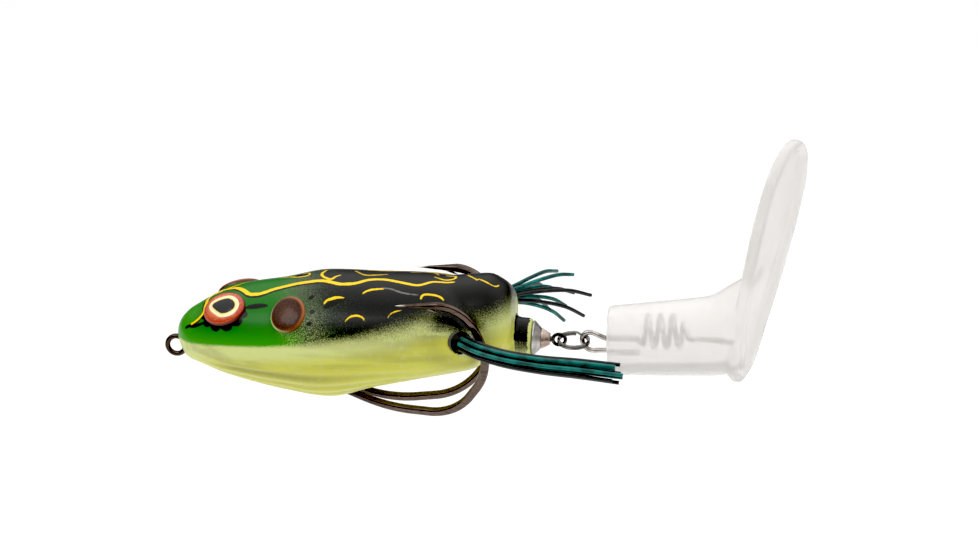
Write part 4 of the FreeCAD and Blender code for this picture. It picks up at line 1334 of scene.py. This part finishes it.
# ----------------------------------------------------------------- tail chain
@dataclass
class TailChain:
    """Lead weight, barrel swivel, split ring and keeper wire behind the body."""
    body: FrogBody
    wires: WireTree
    nose_radius: float = 1.9
    cone: float = 1.55
    barrel_flange: float = 2.0
    barrel_tip: float = 1.15
    barrel_end: float = 3.17
    facets: int = 8
    loop_wire: float = 0.64
    loop_height: float = 1.32
    loop_length: float = 1.6
    loop_start: float = 3.64
    ring_outer: float = 2.95
    ring_width: float = 0.5
    ring_thickness: float = 0.9
    ring_centre: float = 7.36
    ring_roll: float = 11.0
    keeper_wire: float = 0.9
    keeper_z: float = 1.286
    loop_front: float = 74.79
    loop_radius: float = 1.9
    stem_front: float = 79.54
    coil_start: float = 85.74
    coil_radius: float = 2.35
    coil_pitch: float = 2.2
    coil_turns: float = 3.25
    keeper_gap: float = 2.15
    pin_length: float = 7.5

    def weight(self) -> None:
        """Cast lead cone with a stem in the body's tube."""
        base, axis = self.body.tube_end, self.body.tail_dir
        profile = [(-6.0, 1.2), (-5.8, 2.0), (0.0, 2.0), (0.02, 3.0), (0.12, 3.16), (0.30, 3.16),
                   (self.cone - 0.10, self.nose_radius + 0.08), (self.cone, self.nose_radius - 0.05),
                   (self.cone, 1.0)]
        obj = mesh_object("cast_tail_weight", *turned_solid(profile, base, axis, 72))
        FrogBody.fix_normals(obj)
        self.crisp(obj)
        finish = Metal("cast_lead", (0.26, 0.25, 0.245), (0.56, 0.54, 0.52), (0.28, 0.5), 1500.0, 0.35)
        put(obj, Body.LURE, ["tail_weight"], finish.material())

    def barrel(self) -> None:
        """Faceted brass-coloured barrel of the swivel."""
        up = self.body.tail_up
        side = np.array([0.0, 1.0, 0.0])
        rows = ((self.cone - 0.1, 1.45), (self.cone + 0.02, self.barrel_flange - 0.10),
                (self.cone + 0.12, self.barrel_flange), (self.cone + 0.30, self.barrel_flange - 0.10),
                (self.barrel_end - 0.20, self.barrel_tip + 0.06), (self.barrel_end, self.barrel_tip - 0.12),
                (self.barrel_end, 0.64))
        angles = np.linspace(0, 2 * math.pi, self.facets, endpoint=False)
        around = np.outer(np.cos(angles), up) + np.outer(np.sin(angles), side)
        points = np.concatenate([self.body.on_tail(s) + r * around for s, r in rows])
        obj = mesh_object("faceted_swivel_barrel", points, ring_faces(len(rows), self.facets), False)
        FrogBody.fix_normals(obj)
        edge = obj.modifiers.new("worn_edges", "BEVEL")
        edge.width, edge.segments = 0.09 * MM, 2
        edge.limit_method, edge.angle_limit = "ANGLE", math.radians(20)
        applied(obj)
        obj.data.shade_smooth()
        self.crisp(obj)
        finish = Metal("bronze_plate", (0.30, 0.225, 0.185), (0.62, 0.50, 0.43), (0.16, 0.34), 1300.0, 0.2)
        put(obj, Body.LURE, ["swivel_barrel"], finish.material())

    @staticmethod
    def crisp(obj: bpy.types.Object) -> None:
        """Keeps the edges sharper than 35 degrees crisp."""
        obj.data.set_sharp_from_angle(angle=math.radians(35))

    def loop(self) -> None:
        """Black wire eye that turns in the barrel."""
        radius = (self.loop_height + self.loop_wire) / 2
        straight = self.loop_length - self.loop_height
        up, along = self.body.tail_up, self.body.tail_dir
        first = self.body.on_tail(self.loop_start + radius)
        second = first + along * straight
        line = [self.body.on_tail(self.barrel_end - 0.9), self.body.on_tail(self.barrel_end - 0.2),
                self.body.on_tail(self.loop_start - 0.02)]
        stem = self.wires.wire("swivel_wire_eye", np.array(line), 0.5, None, 16, 0.12)
        circle = []
        for degrees in np.arange(180, 541, 7.5):
            a = math.radians(degrees)
            hub = second if math.cos(a) > 0 else first
            circle.append(hub + along * radius * math.cos(a) + up * radius * math.sin(a))
        ring = self.wires.wire("swivel_ring", np.array(circle), self.loop_wire / 2, None, 16, 0.1)
        p, f = joined([(corners_of(o), [tuple(q.vertices) for q in o.data.polygons]) for o in (stem, ring)])
        bpy.data.objects.remove(ring)
        bpy.data.objects.remove(stem)
        obj = mesh_object("swivel_wire_eye", p, f)
        finish = Metal("black_swivel_wire", (0.025, 0.023, 0.022), (0.13, 0.12, 0.11), (0.14, 0.30),
                       2200.0, 0.1)
        put(obj, Body.SWIVEL, ["swivel_eye"], finish.material())

    def split_ring(self) -> None:
        """Two turns of flattened wire that step past each other once."""
        axis = self.body.tail_dir
        up = turned(self.body.tail_up, axis, self.ring_roll)
        side = np.cross(up, axis)
        middle = self.body.on_tail(self.ring_centre)
        reach = self.ring_outer - self.ring_width / 2
        gap, half = math.radians(16), self.ring_thickness / 4
        line = []
        for turn in np.linspace(gap, 4 * math.pi - gap, 220):
            step = float(smoothstep(-gap * 0.9, gap * 0.9, np.array(turn - 2 * math.pi)))
            direction = math.radians(70) + turn
            line.append(middle + reach * (math.cos(direction) * axis + math.sin(direction) * side)
                        + up * (half * (2 * step - 1)))
        line = np.array(line)
        count = len(line)
        p, f = swept(line, np.full(count, half * 0.96), np.full(count, self.ring_width / 2), up, 16)
        obj = mesh_object("two_turn_split_ring", p, f)
        FrogBody.fix_normals(obj)
        finish = Metal("black_nickel_ring", (0.045, 0.042, 0.040), (0.26, 0.245, 0.235), (0.12, 0.26),
                       2000.0, 0.1)
        put(obj, Body.RING, ["split_ring"], finish.material())

    def keeper(self) -> None:
        """Bright wire loop that runs into the paddle and ends in a gripping coil."""
        z, centre = self.keeper_z, self.loop_front + self.loop_radius
        upper, spread = z + 0.2, self.loop_radius + 0.2
        lower = upper - self.keeper_gap
        start = [(self.stem_front + 5.7, 0, lower), (centre + 2.4, 0, lower),
                 (self.loop_front, 0, z - spread),
                 (self.loop_front, 0, z + spread), (centre + 2.4, 0, upper),
                 (self.coil_start - 1.2, 0, upper)]
        first = rounded_line(start, (self.coil_radius,) * 4, 0.15)
        axis_z = upper + 1.2
        coil = []
        for turn in np.linspace(0.06, self.coil_turns, 90):
            a = 1.5 * math.pi + 2 * math.pi * turn
            coil.append((self.coil_start + self.coil_pitch * turn, self.coil_radius * math.cos(a),
                         axis_z + self.coil_radius * math.sin(a)))
        end = coil[-1][0] + 1.3
        last = [(end, 0, upper), (end + 2.0, 0, upper), (end + self.pin_length - 0.3, 0, upper)]
        line = smooth_line(np.concatenate([first[:-1], coil, last]), 0.15)
        finish = Metal("bright_keeper_wire", (0.34, 0.31, 0.29), (0.66, 0.62, 0.585), (0.12, 0.26), 1700.0,
                       0.08)
        obj = self.wires.wire("bent_keeper_wire", line, self.keeper_wire / 2, finish.material(), 18, 0.16)
        put(obj, Body.TAIL, ["tail_keeper"])

    def build(self) -> None:
        """Builds the whole chain."""
        self.weight()
        self.barrel()
        self.loop()
        self.split_ring()
        self.keeper()


# --------------------------------------------------------------------- paddle
@dataclass
class PaddleTail:
    """Milky soft paddle moulded over the keeper wire."""
    stem_front: float = 79.54
    stem_length: float = 16.0
    front_radius: float = 6.2
    rear_radius: float = 7.0
    keeper_z: float = 1.286
    blade_length: float = 45.3
    half_width: float = 8.5
    thickness: float = 2.3
    dish: float = 1.25
    rim: float = 1.5
    lean: float = 13.5
    twist: float = -22.0
    foot: tuple = (102.14, 0.0, -6.51)
    outline: tuple = ((-1.0, 0.0), (-0.91, 0.42), (-0.52, 0.72), (0.0, 0.95), (0.43, 1.0), (0.74, 0.86),
                      (0.93, 0.50), (1.0, 0.0))

    def __post_init__(self) -> None:
        """Works out the blade's directions."""
        lean = math.radians(self.lean)
        self.up = np.array([math.sin(lean), 0.0, math.cos(lean)])
        self.back = turned(np.array([math.cos(lean), 0.0, -math.sin(lean)]), self.up, self.twist)
        self.side = np.cross(self.up, self.back)
        self.middle = np.array(self.foot) + self.up * self.blade_length / 2

    def edge(self) -> Array:
        """Closed outline of the blade, as distances up and sideways."""
        half = [(u * self.blade_length / 2, s * self.half_width, 0.0) for u, s in self.outline]
        loop = half + [(u, -s, 0.0) for u, s, _ in reversed(half[1:-1])]
        wrapped = loop[-3:] + loop + loop[:4]
        line = smooth_line(wrapped, 0.3)
        first = np.argmin(np.linalg.norm(line[:40] - np.array(half[0]), axis=1))
        length = np.argmin(np.linalg.norm(line[first + 60:] - np.array(half[0]), axis=1)) + 60
        return resampled(line[first:first + length + 1], 0.45)[:-1, :2]

    def blade(self) -> tuple[Array, list]:
        """Rounded blade with a dished rear face."""
        edge = self.edge()
        sides, rows = len(edge), 46
        shares = 1 - (1 - np.linspace(1, 0.02, rows)) ** 1.35
        flat = np.concatenate([edge * s for s in shares])
        gap = np.full(len(flat), 99.0)
        for a, b in zip(edge, np.roll(edge, -1, 0)):
            run = b - a
            t = np.clip((flat - a) @ run / (run @ run), 0, 1)
            gap = np.minimum(gap, np.linalg.norm(flat - a - t[:, None] * run, axis=1))
        round_edge = 0.95
        inner = np.clip(round_edge - gap, 0, round_edge)
        shoulder = round_edge - np.sqrt(round_edge**2 - inner**2)
        half = self.thickness / 2
        rear = half - shoulder - self.dish * smoothstep(self.rim - 0.35, self.rim + 1.5, gap)
        front = -half + shoulder
        place = self.middle + flat[:, :1] * self.up + flat[:, 1:] * self.side
        faces = []
        for r in range(rows - 1):
            for s in range(sides):
                a, b = r * sides + s, r * sides + (s + 1) % sides
                faces.append((a, b, b + sides, a + sides))
        base = rows * sides
        faces += [tuple(base + i for i in reversed(f)) for f in faces]
        faces += [(s, base + s, base + (s + 1) % sides, (s + 1) % sides) for s in range(sides)]
        faces.append(tuple((rows - 1) * sides + s for s in range(sides)))
        faces.append(tuple(base + (rows - 1) * sides + s for s in reversed(range(sides))))
        return np.concatenate([place + rear[:, None] * self.back, place + front[:, None] * self.back]), faces

    def stem(self) -> tuple[Array, list]:
        """Tapered round stem that flares into the blade."""
        floor = self.keeper_z - self.front_radius - 0.19
        grow = (self.rear_radius - self.front_radius) / self.stem_length
        across, upward = np.array([0.0, -1.0, 0.0]), np.array([0.0, 0.0, 1.0])
        rows = []
        for share, shrink in ((0.0, 0.55), (0.006, 0.2), (0.02, 0.0), (0.25, 0.0), (0.5, 0.0), (0.75, 0.0),
                              (0.9, 0.0)):
            full = self.front_radius + grow * self.stem_length * share
            centre = np.array([self.stem_front + self.stem_length * share, 0.0, floor + full])
            rows.append((centre, across, upward, full - shrink, full - shrink))
        rear = self.stem_front + self.stem_length
        for back, half_side, half_up, part in ((2.0, 0.99, 1.03, 0.15), (4.3, 0.96, 1.16, 0.5)):
            tilt = math.radians(self.lean * part)
            high = self.rear_radius * half_up
            rows.append((np.array([rear + back, 0.0, floor + high]), across,
                         np.array([math.sin(tilt), 0.0, math.cos(tilt)]), self.rear_radius * half_side,
                         high))
        side = self.side if self.side[1] < 0 else -self.side
        rows.append((self.middle + self.up * (11.9 - self.blade_length / 2), side, self.up,
                     self.half_width * 0.74, 10.4))
        table = [np.array([row[k] for row in rows], float) for k in range(5)]
        along = np.concatenate([[0], np.cumsum(np.linalg.norm(np.diff(table[0], axis=0), axis=1))])
        at = np.unique(np.concatenate([np.linspace(0, along[-1], 60), along]))
        smooth = [np.stack([pchip(along, t[:, k], at) for k in range(3)], 1) for t in table[:3]]
        half_side, half_up = pchip(along, table[3], at), pchip(along, table[4], at)
        angles = np.linspace(0, 2 * math.pi, 96, endpoint=False)
        to_side, to_up = half_side[:, None] * np.cos(angles), half_up[:, None] * np.sin(angles)
        points = (smooth[0][:, None, :] + smooth[1][:, None, :] * to_side[:, :, None]
                  + smooth[2][:, None, :] * to_up[:, :, None])
        return points.reshape(-1, 3), ring_faces(len(at), 96)

    def build(self) -> None:
        """Builds the paddle as one moulded piece."""
        obj = mesh_object("moulded_paddle", *self.stem())
        FrogBody.fix_normals(obj)
        blade = mesh_object("blade", *self.blade())
        FrogBody.fix_normals(blade)
        p, f = joined([(corners_of(o), [tuple(q.vertices) for q in o.data.polygons]) for o in (obj, blade)])
        bpy.data.objects.remove(obj)
        bpy.data.objects.remove(blade)
        obj = remeshed(mesh_object("moulded_paddle", p, f), 0.28, 6)
        put(obj, Body.TAIL, ["paddle_tail"], MilkyRubber().material())


# ---------------------------------------------------------------------- stage
@dataclass
class Studio:
    """Camera, pale floor and soft light."""
    target: tuple = (58.397, 0.0, 13.308)
    distance: float = 400.0
    yaw: float = 8.0
    rise: float = 16.0
    roll: float = -2.218
    lens: float = 82.45
    floor_height: float = -70.0
    horizon: float = 0.06
    zenith: float = 1.34
    sky_rise: tuple = (0.08, 0.80)
    black_point: float = 0.034
    middle: tuple = (55.0, 0.0, 5.0)
    boxes: tuple = (("key_box", (-180.0, -260.0, 420.0), (300.0, 200.0), 0.50),
                    ("top_box", (80.0, 160.0, 520.0), (700.0, 420.0), 0.30),
                    ("side_box", (420.0, -120.0, 240.0), (240.0, 300.0), 0.12))

    def camera(self) -> None:
        """Sets the camera."""
        yaw, rise, roll = (math.radians(v) for v in (self.yaw, self.rise, self.roll))
        look = np.array([-math.sin(yaw) * math.cos(rise), math.cos(yaw) * math.cos(rise), -math.sin(rise)])
        right = np.array([math.cos(yaw), math.sin(yaw), 0.0])
        up = np.cross(right, look)
        c, s = math.cos(roll), math.sin(roll)
        right, up = right * c + up * s, up * c - right * s
        place = np.array(self.target) - look * self.distance
        data = bpy.data.cameras.new("view")
        data.lens, data.sensor_width = self.lens, 36.0
        data.clip_start, data.clip_end = 0.01, 20.0
        camera = bpy.data.objects.new("view", data)
        rows = Matrix((right, up, -look)).transposed().to_4x4()
        camera.matrix_world = Matrix.Translation(Vector(place * MM)) @ rows
        bpy.context.scene.collection.objects.link(camera)
        bpy.context.scene.camera = camera

    def floor(self) -> None:
        """Lays a plain pale floor well below the lure."""
        half = 4000.0
        z = self.floor_height
        obj = mesh_object("floor", np.array([(-half, -half, z), (half, -half, z), (half, half, z),
                                             (-half, half, z)]),
                          [(0, 1, 2, 3)], False)
        pad = Pad("pale_floor")
        pad.set(Base_Color=pad.mix(pad.noise(30, 2), (0.93, 0.93, 0.93), (0.95, 0.95, 0.95)), Roughness=0.9)
        obj.data.materials.append(pad.material)
        obj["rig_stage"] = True

    def light(self, name: str, place: tuple, aim: tuple, size: tuple, power: float) -> None:
        """One soft box.

        Args:
            name: light name.
            place: where it stands, in millimetres.
            aim: point it faces.
            size: width and height in millimetres.
            power: watts.
        """
        data = bpy.data.lights.new(name, "AREA")
        data.shape, data.size, data.size_y, data.energy = "RECTANGLE", size[0] * MM, size[1] * MM, power
        obj = bpy.data.objects.new(name, data)
        obj.location = Vector(place) * MM
        obj.rotation_euler = (Vector(aim) - Vector(place)).to_track_quat("-Z", "Y").to_euler()
        bpy.context.scene.collection.objects.link(obj)

    def sky(self) -> None:
        """White backdrop that lights softly, bright overhead and dim at the horizon."""
        world = bpy.data.worlds.new("studio")
        bpy.context.scene.world = world
        world.use_nodes = True
        nodes, links = world.node_tree.nodes, world.node_tree.links
        back = nodes["Background"]
        place, split = nodes.new("ShaderNodeTexCoord"), nodes.new("ShaderNodeSeparateXYZ")
        rise = nodes.new("ShaderNodeMapRange")
        rise.interpolation_type = "SMOOTHSTEP"
        low, high = self.sky_rise
        levels = {"From Min": low, "From Max": high, "To Min": self.horizon, "To Max": self.zenith}
        for name, value in levels.items():
            rise.inputs[name].default_value = value
        links.new(place.outputs["Generated"], split.inputs[0])
        links.new(split.outputs["Z"], rise.inputs["Value"])
        back.inputs["Color"].default_value = (1.0, 1.0, 1.0, 1.0)
        links.new(rise.outputs[0], back.inputs["Strength"])

    def build(self) -> None:
        """Sets the whole stage."""
        self.camera()
        self.floor()
        for name, place, size, power in self.boxes:
            self.light(name, place, self.middle, size, power)
        self.sky()
        view = bpy.context.scene.view_settings
        view.view_transform = "Standard"
        view.use_curve_mapping = True
        view.curve_mapping.black_level = (self.black_point,) * 3
        view.curve_mapping.update()


# Side, body, strand line (back, out, down, spread), extra length of each strand, black strands
LEGS = (
    (Side.LEFT, Body.LEFT_LEG,
     ((0.0, 0.0, 0.0, 1.0), (2.5, 3.1, -0.1, 1.0), (6.4, 4.9, -0.7, 1.0), (13.2, 5.9, -1.6, 1.05),
      (20.0, 6.5, -2.1, 1.15), (26.4, 6.8, -2.8, 1.25)),
     (0.0, 1.1, 0.4, -0.7, 0.9, 0.2, 1.6, -0.3, 0.7, 1.2), (2, 5, 8, 9)),
    (Side.RIGHT, Body.RIGHT_LEG,
     ((0.0, 0.0, 0.0, 1.0), (2.3, 3.0, 0.1, 1.0), (5.2, 6.6, 0.0, 1.3), (8.4, 10.2, -0.5, 2.2),
      (11.2, 13.8, -1.6, 3.2), (13.2, 17.4, -3.6, 4.1)),
     (0.5, -0.8, 0.2, 1.1, -0.4, 0.8, 0.0, 1.4, -0.6, 0.3), (1, 4, 7, 10)),
)


def main() -> None:
    """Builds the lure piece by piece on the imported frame, then the stage."""
    logging.basicConfig(level=logging.INFO, format="%(name)s %(message)s")
    wires = WireTree()
    body = FrogBody()
    body.build()
    DoubleHook().build()
    TailChain(body, wires).build()
    PaddleTail().build()
    teal = StrandRubber("teal_rubber", (0.002, 0.17, 0.145), (0.001, 0.055, 0.050)).material()
    black = StrandRubber("black_rubber", (0.012, 0.013, 0.014), (0.006, 0.006, 0.007)).material()
    cuff = StrandRubber("sleeve_rubber", (0.17, 0.165, 0.150), (0.07, 0.066, 0.060)).material()
    for side, body_name, line, trims, dark in LEGS:
        StrandLeg(body, side, wires, teal, black, cuff, line, trims, dark).build(body_name)
    lead = Metal("cast_lead", (0.16, 0.16, 0.17), (0.30, 0.30, 0.31), (0.42, 0.62), 1200.0, 0.4).material()
    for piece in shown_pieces():
        if piece.name.startswith("keel_weight") or piece.get("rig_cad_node") == "keel_weight":
            piece.data.materials.clear()
            piece.data.materials.append(lead)
    Studio().build()
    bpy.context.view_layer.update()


if __name__ == "__main__":
    main()
